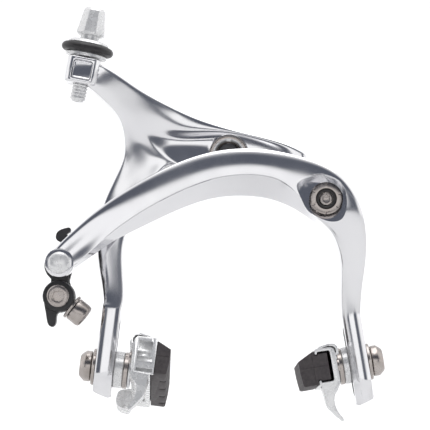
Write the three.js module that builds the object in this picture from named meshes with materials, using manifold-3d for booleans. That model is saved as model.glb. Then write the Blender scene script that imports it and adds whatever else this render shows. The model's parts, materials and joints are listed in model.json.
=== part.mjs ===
// Dual-pivot side-pull rim brake caliper for a road bicycle, in millimetres.
// Seen from the front of the bicycle, +X is to the right, +Y runs back into the fork crown and +Z is up.
// The origin is on the centre bolt, on the face that rests on the fork crown. The arms are sprung open.
import * as THREE from "three";
import { mergeVertices } from "three/addons/utils/BufferGeometryUtils.js";
import Module from "manifold-3d";

const wasm = await Module();
wasm.setup();

// Overall sizes
const rightReach = 64; // drop from the centre bolt to the right pad bolt
const leftReach = 65.4; // the same on the left, where the bolt sits lower in its slot
const rightSpan = 39.7; // centre bolt to the middle of the right leg, at its pad bolt
const leftSpan = 37.9;
const sidePivot = { x: 29.4, z: -14.4 }; // pivot of the front arm
const slotTravel = 15; // how far a pad bolt can be set along its slot
const padPlane = -20; // the pad bolts lie this far in front of the fork crown
const rightSplay = 9.5; // degrees that the sprung-open leg leans outwards
const leftSplay = 7;
const rightPitch = -2; // degrees that a shoe's rear end is tipped down on its pad bolt
const leftPitch = -12;

// Fits
const runningGap = 0.08; // radial gap of a pin in its bearing
const seatGap = 0.1; // between faces that touch
const turnedGap = 0.3; // between faces that touch inside a turned group

// The stack along the centre bolt, each thickness once
const crownWasherThick = 3;
const backPlateThick = 6;
const thrustWasherThick = 1.8;
const rearArmDepth = 13;
const armAirGap = 2; // between the rear arm and the front arm
const frontArmDepth = 11;
const backPlateBack = -crownWasherThick;
const backPlateFront = backPlateBack - backPlateThick;
const rearArmBack = backPlateFront - thrustWasherThick - 2 * seatGap;
const rearArmFront = rearArmBack - rearArmDepth;
const frontArmBack = rearArmFront - armAirGap;
const frontArmFront = frontArmBack - frontArmDepth;

// Bolts, pins and bearings
const pivotPinRadius = 4;
const crownBoltRadius = 3;
const crownBoltLength = 24;
const bushWall = 1;
const nutRadius = 5;
const counterboreRadius = 6.1;
const counterboreDepth = 4.2;
const crownWasherRadius = 8;
const centreHubRadius = 9; // of the back plate
const sideHubRadius = 6.2; // of the front arm
const sideWasherRadius = 5.9;
const plateEndRadius = 5.8; // of the back plate, at the side pivot
const sideHeadOverhang = 0.05; // of the side pivot's head over its bush
const sideHeadRadius = pivotPinRadius + bushWall + sideHeadOverhang;
const sideHeadThick = 2;
const pocketDepth = 3.4; // of the leaf-shaped pocket round the side pivot
const lockScrewRadius = 2;
const camPinRadius = 2.6;
const centringScrewRadius = 2;

// Legs, slots and shoes
const legGauge = 5.6; // thickness of a leg, along the pad bolt
const legDepth = 16; // width of a leg, front to back
const slotEndWall = 3; // metal left below the slot
const padBoltRadius = 3;
const slotGap = 0.15;
const flatMargin = 0.3; // flat metal beyond a spacer, at the top of its travel
const rightBoltSetting = 8.5; // how far down its slot the right bolt is set
const leftBoltSetting = 12.2;
const outerWasherThick = 1;
const outerWasherRadius = 5.6;
const boltHeadRadius = 4.7;
const boltHeadHeight = 3.6;
const dishRadius = 5.6;
const dishStack = 2.3; // the two dished washers together
const rightSpacerThick = 1.9;
const leftSpacerThick = 2.8;
const shoeLength = 52;
const holderHeight = 11;
const holderDepth = 6;
const holderWall = 1.2;
const holderBackWall = 2.2;
const rubberProud = 5.3; // how far the rubber stands out of its holder
const rubberFaceHeight = 7.7;
const grooveWidth = 1.4;
const grooveDepth = 2.4;
const finDrop = 11; // the wheel guide under the front end of a holder
const finLength = 12;

// Cable adjuster
const adjusterSeat = { x: -43.2, y: -28, z: 31.8 }; // centre of its O-ring
const adjusterLean = 11; // degrees
const studRadius = 2.35;
const studBelowSeat = 16.3;
const barrelLength = 8.5;
const barrelTopRadius = 3.45;
const barrelFootRadius = 4.5;
const neckLength = 1.3;
const cableHoleRadius = 0.9;
const housingSeatRadius = 2.4;
const nutFlangeRadius = 6.2;
const nutFlangeThick = 1.2;
const oRingRadius = 1.35; // of its section
const oRingReach = 6.6; // centre of its section to the axis
const bossLength = 8.2;
const bossHalfWidth = 4.9;
const bossHalfDepth = 6.2;

// Quick release on the left end of the front arm
const leverPivot = { x: -51.1, z: -33.8 };
const armTipRadius = 4.4;
const armTipDepth = 7;
const leverThick = 3.6;
const anchorDrop = 10;
const anchorRadius = 4.8;
const anchorBoltRadius = 2.5;
const anchorHeadRadius = 3.3;
const anchorHeadHeight = 3;
const anchorNutRadius = 3.8;
const pinchAngle = 39; // degrees below level that the pinch bolt points
const pinchHeadRadius = 3.65;
const pinchHeadHeight = 4.6;
const pinchShankRadius = 2;
const rivetRadius = 2;
const rivetHeadRadius = 3.3;

// Return spring
const springWireRadius = 0.9;
const springRoute = [
  [-10, -6, -3.6],
  [-16.5, -6.2, -5.4],
  [-24, -7, -9],
  [-30, -8, -15.5],
  [-34.5, -8.6, -23],
];

const rad = THREE.MathUtils.degToRad;
const alloy = { color: 0xd8d9dc, roughness: 0.22, metalness: 1 };
const steel = { color: 0xa9a6a2, roughness: 0.34, metalness: 1 };
const blackPlastic = { color: 0x1b1b1d, roughness: 0.5, metalness: 0 };
const blackRubber = { color: 0x111112, roughness: 0.6, metalness: 0 };
const padRubber = { color: 0x433e3f, roughness: 0.85, metalness: 0 };
const darkCap = { color: 0x2c2c30, roughness: 0.45, metalness: 0.3 };

// Geometry helpers -------------------------------------------------------

function toSolid(geometry) {
  const bare = geometry.clone();
  bare.deleteAttribute("normal");
  bare.deleteAttribute("uv");
  const merged = mergeVertices(bare, 1e-4);
  return new wasm.Manifold(
    new wasm.Mesh({
      numProp: 3,
      vertProperties: merged.attributes.position.array,
      triVerts: new Uint32Array(merged.index.array),
    }),
  );
}

function toGeometry(solid) {
  const mesh = solid.getMesh();
  const geometry = new THREE.BufferGeometry();
  geometry.setAttribute("position", new THREE.BufferAttribute(mesh.vertProperties, mesh.numProp));
  geometry.setIndex(new THREE.BufferAttribute(mesh.triVerts, 1));
  geometry.computeVertexNormals();
  return geometry;
}

function join(...geometries) {
  return toGeometry(geometries.map(toSolid).reduce((whole, next) => whole.add(next)));
}

function cut(base, ...tools) {
  return toGeometry(tools.map(toSolid).reduce((left, tool) => left.subtract(tool), toSolid(base)));
}

// A round bar along Y.
function bar(radius, front, back, x = 0, z = 0, sides = 24) {
  const geometry = new THREE.CylinderGeometry(radius, radius, back - front, sides);
  return geometry.translate(x, (front + back) / 2, z);
}

// A body turned about Y from [radius, y] points that start and end on the axis.
function turned(profile, sides = 24) {
  return new THREE.LatheGeometry(
    profile.map(([radius, y]) => new THREE.Vector2(radius, y)),
    sides,
  );
}

// A washer or sleeve about Y.
function ring(outer, inner, front, back) {
  return turned([
    [inner, front],
    [outer, front],
    [outer, back],
    [inner, back],
    [inner, front],
  ]);
}

// A flat outline of [x, z] points, given its depth from front to back along Y.
function plate(outline, front, back) {
  const shape = new THREE.Shape(outline.map(([x, z]) => new THREE.Vector2(x, z)));
  const geometry = new THREE.ExtrudeGeometry(shape, { depth: back - front, bevelEnabled: false });
  return geometry.rotateX(Math.PI / 2).translate(0, back, 0);
}

// Points of an arc in the XZ plane, from one angle to another in degrees.
function arc(x, z, radius, from, to, steps) {
  return Array.from({ length: steps + 1 }, (_, i) => {
    const angle = rad(from + ((to - from) * i) / steps);
    return [x + radius * Math.cos(angle), z + radius * Math.sin(angle)];
  });
}

// A smooth closed outline through a few [x, z] points.
function smoothOutline(points, perSpan = 4) {
  const route = new THREE.CatmullRomCurve3(
    points.map(([x, z]) => new THREE.Vector3(x, 0, z)),
    true,
  );
  return route
    .getPoints(points.length * perSpan)
    .slice(0, -1)
    .map((p) => [p.x, p.z]);
}

// One value along a list of stations, as a smooth function of 0..1.
function along(stations, key) {
  const spline = new THREE.SplineCurve(stations.map((s, i) => new THREE.Vector2(i, s[key])));
  return (t) => spline.getPoint(t).y;
}

// An arm forged along a route. Each station holds its middle x and z, how far it reaches to its
// outer side (up) and inner side (down), its front and back faces, and the lip: the crisp lower
// edge of the front face, from which the underside slopes back over the distance sole.
function armBody(stations, perSpan = 3, edge = 1.2) {
  const route = new THREE.SplineCurve(stations.map((s) => new THREE.Vector2(s.x, s.z)));
  const value = {};
  for (const key of ["up", "lip", "down", "front", "back", "sole"]) value[key] = along(stations, key);
  const count = (stations.length - 1) * perSpan;
  const vertices = [];
  const sides = 8;
  for (let i = 0; i <= count; i += 1) {
    const t = i / count;
    const middle = route.getPoint(t);
    const tangent = route.getTangent(t);
    const normal = new THREE.Vector2(-tangent.y, tangent.x);
    const { up, lip, down, front, back, sole } = Object.fromEntries(
      Object.entries(value).map(([key, at]) => [key, at(t)]),
    );
    const section = [
      [up - edge, front],
      [up, front + edge],
      [up, back - edge],
      [up - edge, back],
      [edge - down, back],
      [-down, back - edge],
      [-down, front + sole],
      [-lip, front],
    ];
    for (const [n, y] of section) vertices.push(middle.x + normal.x * n, y, middle.y + normal.y * n);
  }
  const faces = [];
  for (let i = 0; i < count; i += 1) {
    for (let k = 0; k < sides; k += 1) {
      const a = i * sides + k;
      const b = i * sides + ((k + 1) % sides);
      faces.push(a, a + sides, b, b, a + sides, b + sides);
    }
  }
  const last = count * sides;
  for (let k = 1; k < sides - 1; k += 1) {
    faces.push(0, k, k + 1);
    faces.push(last, last + k + 1, last + k);
  }
  const geometry = new THREE.BufferGeometry();
  geometry.setAttribute("position", new THREE.Float32BufferAttribute(vertices, 3));
  geometry.setIndex(faces);
  return geometry;
}

// Turns a piece made along Y so that it lies along X.
function alongX(geometry) {
  return geometry.rotateZ(-Math.PI / 2);
}

function hexSocket(acrossCorners, front, back) {
  return bar(acrossCorners, front, back, 0, 0, 6);
}

function piece(name, geometry, finish) {
  const mesh = new THREE.Mesh(geometry, new THREE.MeshStandardMaterial(finish));
  mesh.name = name;
  return mesh;
}

// Where the legs run ------------------------------------------------------

// The middle of a leg at a distance below its pad bolt, and the slot that the bolt can be set along.
function legFrame(side) {
  const right = side > 0;
  const splay = rad(right ? rightSplay : leftSplay);
  const bolt = { x: side * (right ? rightSpan : leftSpan), z: -(right ? rightReach : leftReach) };
  const setting = right ? rightBoltSetting : leftBoltSetting;
  const below = slotTravel - setting;
  return {
    bolt,
    turn: -side * splay,
    above: setting,
    below,
    end: below + padBoltRadius + slotGap + slotEndWall,
    at: (s) => ({ x: bolt.x + side * s * Math.sin(splay), z: bolt.z - s * Math.cos(splay) }),
  };
}
const rightLeg = legFrame(1);
const leftLeg = legFrame(-1);

function legStation(leg, s) {
  return {
    ...leg.at(s),
    up: legGauge / 2,
    lip: legGauge / 2 - 1.2,
    down: legGauge / 2,
    front: padPlane - legDepth / 2,
    back: padPlane + legDepth / 2,
    sole: 1.2,
  };
}

function legStations(leg) {
  const top = -leg.above - dishRadius - flatMargin;
  return [top, top / 2, 0, leg.end / 2, leg.end].map((s) => legStation(leg, s));
}

// The slot, cut through a leg along its pad bolt.
function slotTool(leg) {
  const half = padBoltRadius + slotGap;
  const outline = [...arc(0, leg.above, half, 0, 180, 12), ...arc(0, -leg.below, half, 180, 360, 12)];
  return plate(outline, -legGauge * 1.5, legGauge * 1.5)
    .rotateZ(Math.PI / 2)
    .rotateY(leg.turn)
    .translate(leg.bolt.x, padPlane, leg.bolt.z);
}

// Front arm ------------------------------------------------------------------

function frontArmStation(x, z, up, lip, down, more = {}) {
  return { x, z, up, lip, down, front: frontArmFront, back: frontArmBack, sole: 9, ...more };
}

function frontArm() {
  const pivot = sidePivot;
  const tip = leverPivot;
  const tipBack = frontArmFront + armTipDepth;
  const stations = [
    frontArmStation(tip.x, tip.z, 4.3, 4, 4.2, { back: tipBack, sole: 1.5 }),
    frontArmStation(tip.x + 4.4, tip.z + 4.1, 4.1, 3.9, 4.7, { back: tipBack, sole: 3 }),
    frontArmStation(-38.4, -21.8, 4.1, 3.7, 6, { back: tipBack, sole: 5.5 }),
    frontArmStation(-29.4, -15.4, 4.1, 4.1, 7.5, { sole: 8 }),
    frontArmStation(-13.9, -7.3, 4.2, 4.1, 8.4),
    frontArmStation(0.3, -3.4, 4.1, 4, 9.2),
    frontArmStation(14.1, -4, 4, 4, 9.6),
    frontArmStation(pivot.x - 6.9, pivot.z + 6.2, 6.2, 5, 9.2),
    frontArmStation(pivot.x + 0.8, pivot.z + 0.2, 7.4, 6.4, 7.6, { sole: 4 }),
    frontArmStation(pivot.x + 7.3, pivot.z - 9.3, 5.1, 3.9, 5.1, { front: -34, back: -15, sole: 1.2 }),
    frontArmStation(pivot.x + 8.6, pivot.z - 18.4, 3.6, 2.4, 3.6, { front: -31, back: -12.5, sole: 1.2 }),
    frontArmStation(36.8, pivot.z - 31, 2.8, 1.6, 2.8, { front: -28.6, back: -12, sole: 1.2 }),
    ...legStations(rightLeg),
  ];
  const hubBack = backPlateFront - thrustWasherThick - 2 * seatGap;
  const pocketFloor = frontArmFront + pocketDepth;
  const pocket = smoothOutline([
    [pivot.x - 8.8, pivot.z + 4.5],
    [pivot.x - 4.3, pivot.z + 7],
    [pivot.x - 0.4, pivot.z + 7.3],
    [pivot.x + 4.4, pivot.z + 4.9],
    [pivot.x + 6.2, pivot.z - 0.6],
    [pivot.x + 4.9, pivot.z - 5.9],
    [pivot.x + 0.6, pivot.z - 6.8],
    [pivot.x - 4.9, pivot.z - 4],
    [pivot.x - 7.8, pivot.z + 0.4],
  ]);
  const camX = camPlace().x;
  const camZ = camPlace().z;
  const forged = join(
    armBody(stations),
    bar(armTipRadius, frontArmFront, tipBack, tip.x, tip.z),
    bar(sideHubRadius, frontArmFront + 1.5, hubBack, pivot.x, pivot.z),
    bar(camPinRadius + 1.6, frontArmBack - 2, frontArmBack + 0.6, camX, camZ),
  );
  return cut(
    forged,
    plate(pocket, frontArmFront - 3, pocketFloor),
    bar(pivotPinRadius + bushWall + seatGap, frontArmFront, 0, pivot.x, pivot.z),
    bar(rivetRadius + runningGap, frontArmFront - 1, tipBack + 1, tip.x, tip.z),
    bar(camPinRadius - 0.9 + seatGap, frontArmBack - 4, frontArmBack + 1, camX, camZ),
    slotTool(rightLeg),
  );
}

// The cam pin stands between the pivots, where both arms rise at the same rate.
function camPlace() {
  const share = 0.562;
  return {
    x: sidePivot.x * share,
    z: sidePivot.z * share - camPinRadius - 0.2,
  };
}

function camPin() {
  const { x, z } = camPlace();
  const neck = bar(camPinRadius - 0.9, frontArmBack - 3.8, frontArmBack + 1, x, z);
  const reachBack = (rearArmFront + rearArmBack) / 2 + centringScrewRadius;
  const head = bar(camPinRadius, frontArmBack + 0.8, reachBack, x, z);
  return join(neck, head);
}

// Rear arm ---------------------------------------------------------------------

function rearArmStation(x, z, up, down, more = {}) {
  const lip = down - 1.2;
  return { x, z, up, lip, down, front: rearArmFront, back: rearArmBack, sole: 1.2, ...more };
}

function adjusterMatrix() {
  return new THREE.Matrix4()
    .makeRotationY(rad(adjusterLean))
    .setPosition(adjusterSeat.x, adjusterSeat.y, adjusterSeat.z);
}

function bossTop() {
  return -oRingRadius - nutFlangeThick - turnedGap;
}

// The block at the arm's upper end that the adjuster's stud slides through.
function adjusterBoss() {
  const corner = 2;
  const w = bossHalfWidth;
  const d = bossHalfDepth;
  const outline = [
    ...arc(w - corner, d - corner, corner, 0, 90, 3),
    ...arc(corner - w, d - corner, corner, 90, 180, 3),
    ...arc(corner - w, corner - d, corner, 180, 270, 3),
    ...arc(w - corner, corner - d, corner, 270, 360, 3),
  ];
  const block = plate(outline, 0, bossLength).rotateX(Math.PI / 2);
  return block.translate(0, 0, bossTop() - bossLength).applyMatrix4(adjusterMatrix());
}

function rearArm() {
  const legRoute = [
    ...legStations(leftLeg).reverse(),
    rearArmStation(-35.1, -45, 3.1, 3.1, { front: -27, back: -12 }),
    rearArmStation(-36.7, -31.5, 3.7, 3.6),
    rearArmStation(-35.4, -20, 4.5, 4.5),
    rearArmStation(-31, -10.5, 5.4, 5.6),
    rearArmStation(-23.6, -2.4, 8, 7.2),
    rearArmStation(-12, 0, 7, 8.4),
    rearArmStation(0, 0, 6, 8.6),
  ];
  const seat = adjusterSeat;
  const crossRoute = [
    rearArmStation(seat.x - 0.6, seat.z - 7, 4, 3.2, { front: seat.y - 5.8, back: seat.y + 5.8 }),
    rearArmStation(-37, 20.3, 4.6, 4.2, { front: -32, back: -20 }),
    rearArmStation(-29.5, 14.5, 5.4, 4.6, { front: -28, back: -14.5 }),
    rearArmStation(-20, 8.5, 6.1, 7.6, { front: rearArmFront - 0.6 }),
    rearArmStation(-9, 3, 7.2, 9),
    rearArmStation(2, 0, 7.3, 9),
    rearArmStation(12, -2, 7, 6),
    rearArmStation(20, -3.2, 5.8, 4.4),
    rearArmStation(25, -3.1, 2.6, 1.6),
  ];
  const web = smoothOutline([
    [-25.4, 6.4],
    [-17, 5.9],
    [-8.4, 6.4],
    [-7.6, -2],
    [-9, -8],
    [-18, -9.6],
    [-27.6, -12],
    [-27.2, -5],
    [-25.6, 0],
  ]);
  const cam = camPlace();
  const screwTop = cam.z + camPinRadius + 30;
  const screwBore = centringScrewRadius + seatGap;
  const screwHole = new THREE.CylinderGeometry(screwBore, screwBore, 60, 24)
    .rotateX(Math.PI / 2)
    .translate(cam.x, (rearArmFront + rearArmBack) / 2, screwTop);
  const forged = join(armBody(legRoute), armBody(crossRoute), adjusterBoss());
  const bore = pivotPinRadius + bushWall + seatGap;
  const studBore = new THREE.CylinderGeometry(studRadius + seatGap, studRadius + seatGap, 60, 24)
    .rotateX(Math.PI / 2)
    .applyMatrix4(adjusterMatrix());
  const windowHalf = 2.9;
  const bossWindow = new THREE.BoxGeometry(2 * windowHalf, 4, 5.4)
    .translate(0, -bossHalfDepth, bossTop() - bossLength / 2)
    .applyMatrix4(adjusterMatrix());
  return cut(
    forged,
    plate(web, rearArmFront - 3, rearArmFront + 2.2),
    bar(bore, rearArmFront - 5, rearArmBack + 5),
    bar(counterboreRadius, rearArmFront - 5, rearArmFront + counterboreDepth),
    camRelief(),
    screwHole,
    studBore,
    bossWindow,
    slotTool(leftLeg),
  );
}

// Clears the space under the wing, where the cam pin moves.
function camRelief() {
  const { x, z } = camPlace();
  return new THREE.BoxGeometry(14, rearArmDepth * 3, 8).translate(
    x + 0.5,
    rearArmFront + rearArmDepth / 2,
    z + camPinRadius + 0.2 - 4,
  );
}

function centringScrew() {
  const { x, z } = camPlace();
  const foot = z + camPinRadius + 0.2;
  const length = 11;
  const screw = new THREE.CylinderGeometry(centringScrewRadius, centringScrewRadius, length, 24);
  const socket = new THREE.CylinderGeometry(1.15, 1.15, 4, 6).translate(0, length / 2, 0);
  return cut(screw, socket)
    .rotateX(Math.PI / 2)
    .translate(x, (rearArmFront + rearArmBack) / 2, foot + length / 2);
}

// The fixed core -------------------------------------------------------------------

function backPlate() {
  const ear = { x: -11, z: -4, radius: 4.5 };
  const lean = Math.atan2(sidePivot.z, sidePivot.x);
  const deg = THREE.MathUtils.radToDeg(lean);
  const outline = [
    ...arc(sidePivot.x, sidePivot.z, plateEndRadius, -155, deg + 90, 12),
    ...arc(0, 0, centreHubRadius, deg + 88, 160, 6),
    ...arc(ear.x, ear.z, ear.radius, 135, 260, 6),
    ...arc(0, 0, centreHubRadius, 235, 310, 4),
  ];
  return cut(
    plate(outline, backPlateFront, backPlateBack),
    bar(pivotPinRadius + seatGap, backPlateFront - 1, backPlateBack + 1),
    bar(pivotPinRadius + seatGap, backPlateFront - 1, backPlateBack + 1, sidePivot.x, sidePivot.z),
    springBore(springWireRadius + turnedGap),
  );
}

// A straight hole round the fixed end of the spring.
function springBore(radius) {
  const [start, next] = springRoute.map((p) => new THREE.Vector3(...p));
  const direction = next.clone().sub(start);
  const length = direction.length() * 2;
  const tool = new THREE.CylinderGeometry(radius, radius, length, 16);
  const turn = new THREE.Quaternion().setFromUnitVectors(new THREE.Vector3(0, 1, 0), direction.normalize());
  const middle = start.clone().addScaledVector(direction, length / 2 - 1);
  return tool.applyQuaternion(turn).translate(middle.x, middle.y, middle.z);
}

function springSleeve() {
  const block = new THREE.BoxGeometry(3.6, 5, 5.4).translate(-17.9, -6.4, -5.9);
  return cut(block, springPath(springWireRadius + turnedGap));
}

// The spring's wire, or the same route at another radius for the holes that it lies in.
function springPath(radius) {
  const route = new THREE.CatmullRomCurve3(springRoute.map((p) => new THREE.Vector3(...p)));
  const shape = new THREE.Shape(arc(0, 0, radius, 0, 315, 7).map(([x, y]) => new THREE.Vector2(x, y)));
  return new THREE.ExtrudeGeometry(shape, { steps: 28, extrudePath: route, bevelEnabled: false });
}

function springSlider() {
  const [x, , z] = springRoute[springRoute.length - 1];
  const back = rearArmBack + turnedGap;
  const block = new THREE.BoxGeometry(5, 4.6, 8).translate(x + 1, back + 2.3, z + 2);
  return cut(block, springPath(springWireRadius + turnedGap));
}

function centreBolt() {
  const front = rearArmFront + 1.6;
  return cut(
    turned([
      [0, front],
      [pivotPinRadius - 0.4, front],
      [pivotPinRadius, front + 0.4],
      [pivotPinRadius, backPlateBack],
      [crownBoltRadius, backPlateBack],
      [crownBoltRadius, crownBoltLength - 0.6],
      [crownBoltRadius - 0.6, crownBoltLength],
      [0, crownBoltLength],
    ]),
    hexSocket(1.7, front - 1, front + 2),
  );
}

function centreNut() {
  const front = rearArmFront + 0.1;
  const back = rearArmFront + counterboreDepth - 1;
  return turned([
    [pivotPinRadius + runningGap, back],
    [pivotPinRadius + runningGap, front + 1],
    [nutRadius - 0.6, front],
    [nutRadius - 0.2, front],
    [nutRadius, front + 0.3],
    [nutRadius, back],
    [pivotPinRadius + runningGap, back],
  ]);
}

function centreCap() {
  const front = rearArmFront + 0.5;
  return turned([
    [0, front + 0.1],
    [1, front],
    [1.2, front + 0.3],
    [pivotPinRadius - 0.7, front + 0.3],
    [pivotPinRadius - 0.4, front + 0.6],
    [pivotPinRadius - 0.4, rearArmFront + 1.4],
    [0, rearArmFront + 1.4],
  ]);
}

function sleeveNut() {
  const front = crownBoltLength - 10;
  const back = crownBoltLength + 6;
  const outer = 4;
  const flange = 5;
  return cut(
    turned([
      [0, front],
      [outer, front],
      [outer, back - 2],
      [flange, back - 2],
      [flange, back],
      [0, back],
    ]),
    bar(crownBoltRadius + seatGap, front - 1, crownBoltLength + 1),
    hexSocket(2.6, crownBoltLength + 0.5, back + 1),
  );
}

function sidePivotBolt() {
  const headBack = frontArmFront + pocketDepth - seatGap;
  const headFront = headBack - sideHeadThick;
  return cut(
    turned([
      [0, headFront],
      [sideHeadRadius - 0.5, headFront],
      [sideHeadRadius, headFront + 0.5],
      [sideHeadRadius, headBack],
      [pivotPinRadius, headBack],
      [pivotPinRadius, backPlateBack - 0.4],
      [0, backPlateBack - 0.4],
    ]),
    bar(lockScrewRadius + 1.2, headFront - 1, headFront + 1.4),
    bar(lockScrewRadius + seatGap, headFront - 1, headFront + 5),
  ).translate(sidePivot.x, 0, sidePivot.z);
}

function sideLockScrew() {
  const front = frontArmFront + pocketDepth - seatGap - sideHeadThick + 0.3;
  return cut(
    turned([
      [0, front],
      [lockScrewRadius - 0.3, front],
      [lockScrewRadius, front + 0.3],
      [lockScrewRadius, front + 4.4],
      [0, front + 4.4],
    ]),
    hexSocket(1.3, front - 1, front + 1.8),
  ).translate(sidePivot.x, 0, sidePivot.z);
}

function core() {
  const group = new THREE.Group();
  const rearWasherBack = backPlateFront - seatGap;
  const bushFront = rearArmFront + counterboreDepth;
  const sideBore = pivotPinRadius + runningGap;
  const rearWasher = ring(7.4, sideBore, rearWasherBack - thrustWasherThick, rearWasherBack);
  group.add(
    piece("crown_washer", ring(crownWasherRadius, crownBoltRadius + 0.2, -crownWasherThick, 0), steel),
    piece("centre_bolt", centreBolt(), steel),
    piece("sleeve_nut", sleeveNut(), steel),
    piece("back_plate", backPlate(), alloy),
    piece("rear_thrust_washer", rearWasher, blackPlastic),
    piece("front_thrust_washer", ring(5.8, sideBore, bushFront - 0.8, bushFront - seatGap), steel),
    piece("centre_nut", centreNut(), steel),
    piece("centre_cap", centreCap(), darkCap),
    piece("side_pivot_bolt", sidePivotBolt(), steel),
    piece("side_lock_screw", sideLockScrew(), steel),
    piece("spring_sleeve", springSleeve(), blackPlastic),
    piece("return_spring", springPath(springWireRadius), steel),
  );
  const sideWasher = ring(sideWasherRadius, sideBore, rearWasherBack - thrustWasherThick, rearWasherBack);
  group.add(piece("side_thrust_washer", sideWasher.translate(sidePivot.x, 0, sidePivot.z), blackPlastic));
  return group;
}

// Cable adjuster, in its own leaning frame with the O-ring at the origin ------------------

function adjusterStud() {
  const foot = oRingRadius + nutFlangeThick + turnedGap;
  const barrelFoot = foot + neckLength;
  const barrelTop = barrelFoot + barrelLength;
  const facets = 8;
  const barrel = new THREE.CylinderGeometry(barrelTopRadius, barrelFootRadius, barrelLength, facets)
    .rotateY(Math.PI / facets)
    .translate(0, barrelFoot + barrelLength / 2, 0);
  const stem = turned(
    [
      [0, -studBelowSeat],
      [studRadius - 0.4, -studBelowSeat],
      [studRadius, 0.4 - studBelowSeat],
      [studRadius, foot],
      [studRadius + 0.5, foot],
      [studRadius + 0.5, barrelFoot + 0.5],
      [0, barrelFoot + 0.5],
    ],
    24,
  );
  return cut(
    join(barrel, stem),
    bar(cableHoleRadius, -studBelowSeat - 1, barrelTop + 1, 0, 0, 16),
    bar(housingSeatRadius, barrelTop - 6, barrelTop + 1),
  ).rotateX(Math.PI / 2);
}

function adjusterNut() {
  const half = oRingRadius + nutFlangeThick;
  const waist = oRingReach - oRingRadius - seatGap;
  const groove = oRingRadius + seatGap;
  const bore = studRadius + seatGap;
  return turned([
    [bore, -half],
    [nutFlangeRadius, -half],
    [nutFlangeRadius, -groove],
    [waist, -groove],
    [waist, groove],
    [nutFlangeRadius, groove],
    [nutFlangeRadius - 0.6, half],
    [bore, half],
    [bore, -half],
  ]).rotateX(Math.PI / 2);
}

function adjusterORing() {
  return turned(arc(oRingReach, 0, oRingRadius, 0, 360, 10)).rotateX(Math.PI / 2);
}

function adjuster() {
  const group = new THREE.Group();
  group.position.set(adjusterSeat.x, adjusterSeat.y, adjusterSeat.z);
  group.rotation.y = rad(adjusterLean);
  group.add(
    piece("adjuster_stud", adjusterStud(), alloy),
    piece("adjuster_nut", adjusterNut(), alloy),
    piece("adjuster_o_ring", adjusterORing(), blackRubber),
  );
  return group;
}

// Quick release lever with the cable anchor, in a frame on the rivet ---------------------------

function anchorFrame() {
  return { x: -0.3, z: -anchorDrop };
}

function pinchDirection() {
  return { x: Math.cos(rad(pinchAngle)), z: -Math.sin(rad(pinchAngle)) };
}

function leverBack() {
  return frontArmFront + armTipDepth + 0.4 + leverThick;
}

// A round bar along the pinch bolt, between two distances from the anchor's axis.
function pinchBar(radius, from, to, sides = 24) {
  const direction = pinchDirection();
  const anchor = anchorFrame();
  const middle = (from + to) / 2;
  const turn = new THREE.Quaternion().setFromUnitVectors(
    new THREE.Vector3(0, 1, 0),
    new THREE.Vector3(direction.x, 0, direction.z),
  );
  return new THREE.CylinderGeometry(radius, radius, to - from, sides)
    .applyQuaternion(turn)
    .translate(anchor.x + direction.x * middle, pinchY(), anchor.z + direction.z * middle);
}

function pinchY() {
  return leverBack() - leverThick - 0.9;
}

function quickLever() {
  const anchor = anchorFrame();
  const back = leverBack();
  const front = back - leverThick;
  const knobFront = frontArmFront + 1.5;
  const spine = [
    [-1.4, 8.2],
    [-0.9, 9.8],
    [1, 10.8],
    [2.9, 11.1],
    [3.1, 8.6],
    [4.4, 4.5],
    [3.8, -1.4],
    [2.7, -5],
    [anchor.x + 2.4, anchor.z + 2],
    [anchor.x - 2.4, anchor.z + 2],
    [-2.9, -4.8],
    [-4.8, -1],
    [-2.6, 3.2],
    [0.6, 4.6],
    [0, 6.4],
  ];
  const tail = [
    [anchor.x - 4.4, anchor.z + 1],
    [anchor.x - 3.8, anchor.z - 4],
    [anchor.x - 3.4, anchor.z - 9.2],
    [anchor.x - 1.6, anchor.z - 8.6],
    [anchor.x + 0.8, anchor.z - 4.4],
    [anchor.x + 2, anchor.z + 1],
  ].reverse();
  return cut(
    join(
      plate(spine.reverse(), front, back),
      bar(anchorRadius, knobFront, back, anchor.x, anchor.z),
      plate(tail, knobFront + 0.8, front + 0.5),
    ),
    bar(rivetRadius + runningGap, front - 1, back + 1),
    bar(anchorBoltRadius + seatGap, knobFront - 1, back + 1, anchor.x, anchor.z),
    pinchBar(pinchShankRadius + turnedGap / 2, 3, 9),
    pinchBar(pinchHeadRadius + 0.6, anchorRadius - 0.4, 20),
  );
}

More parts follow.
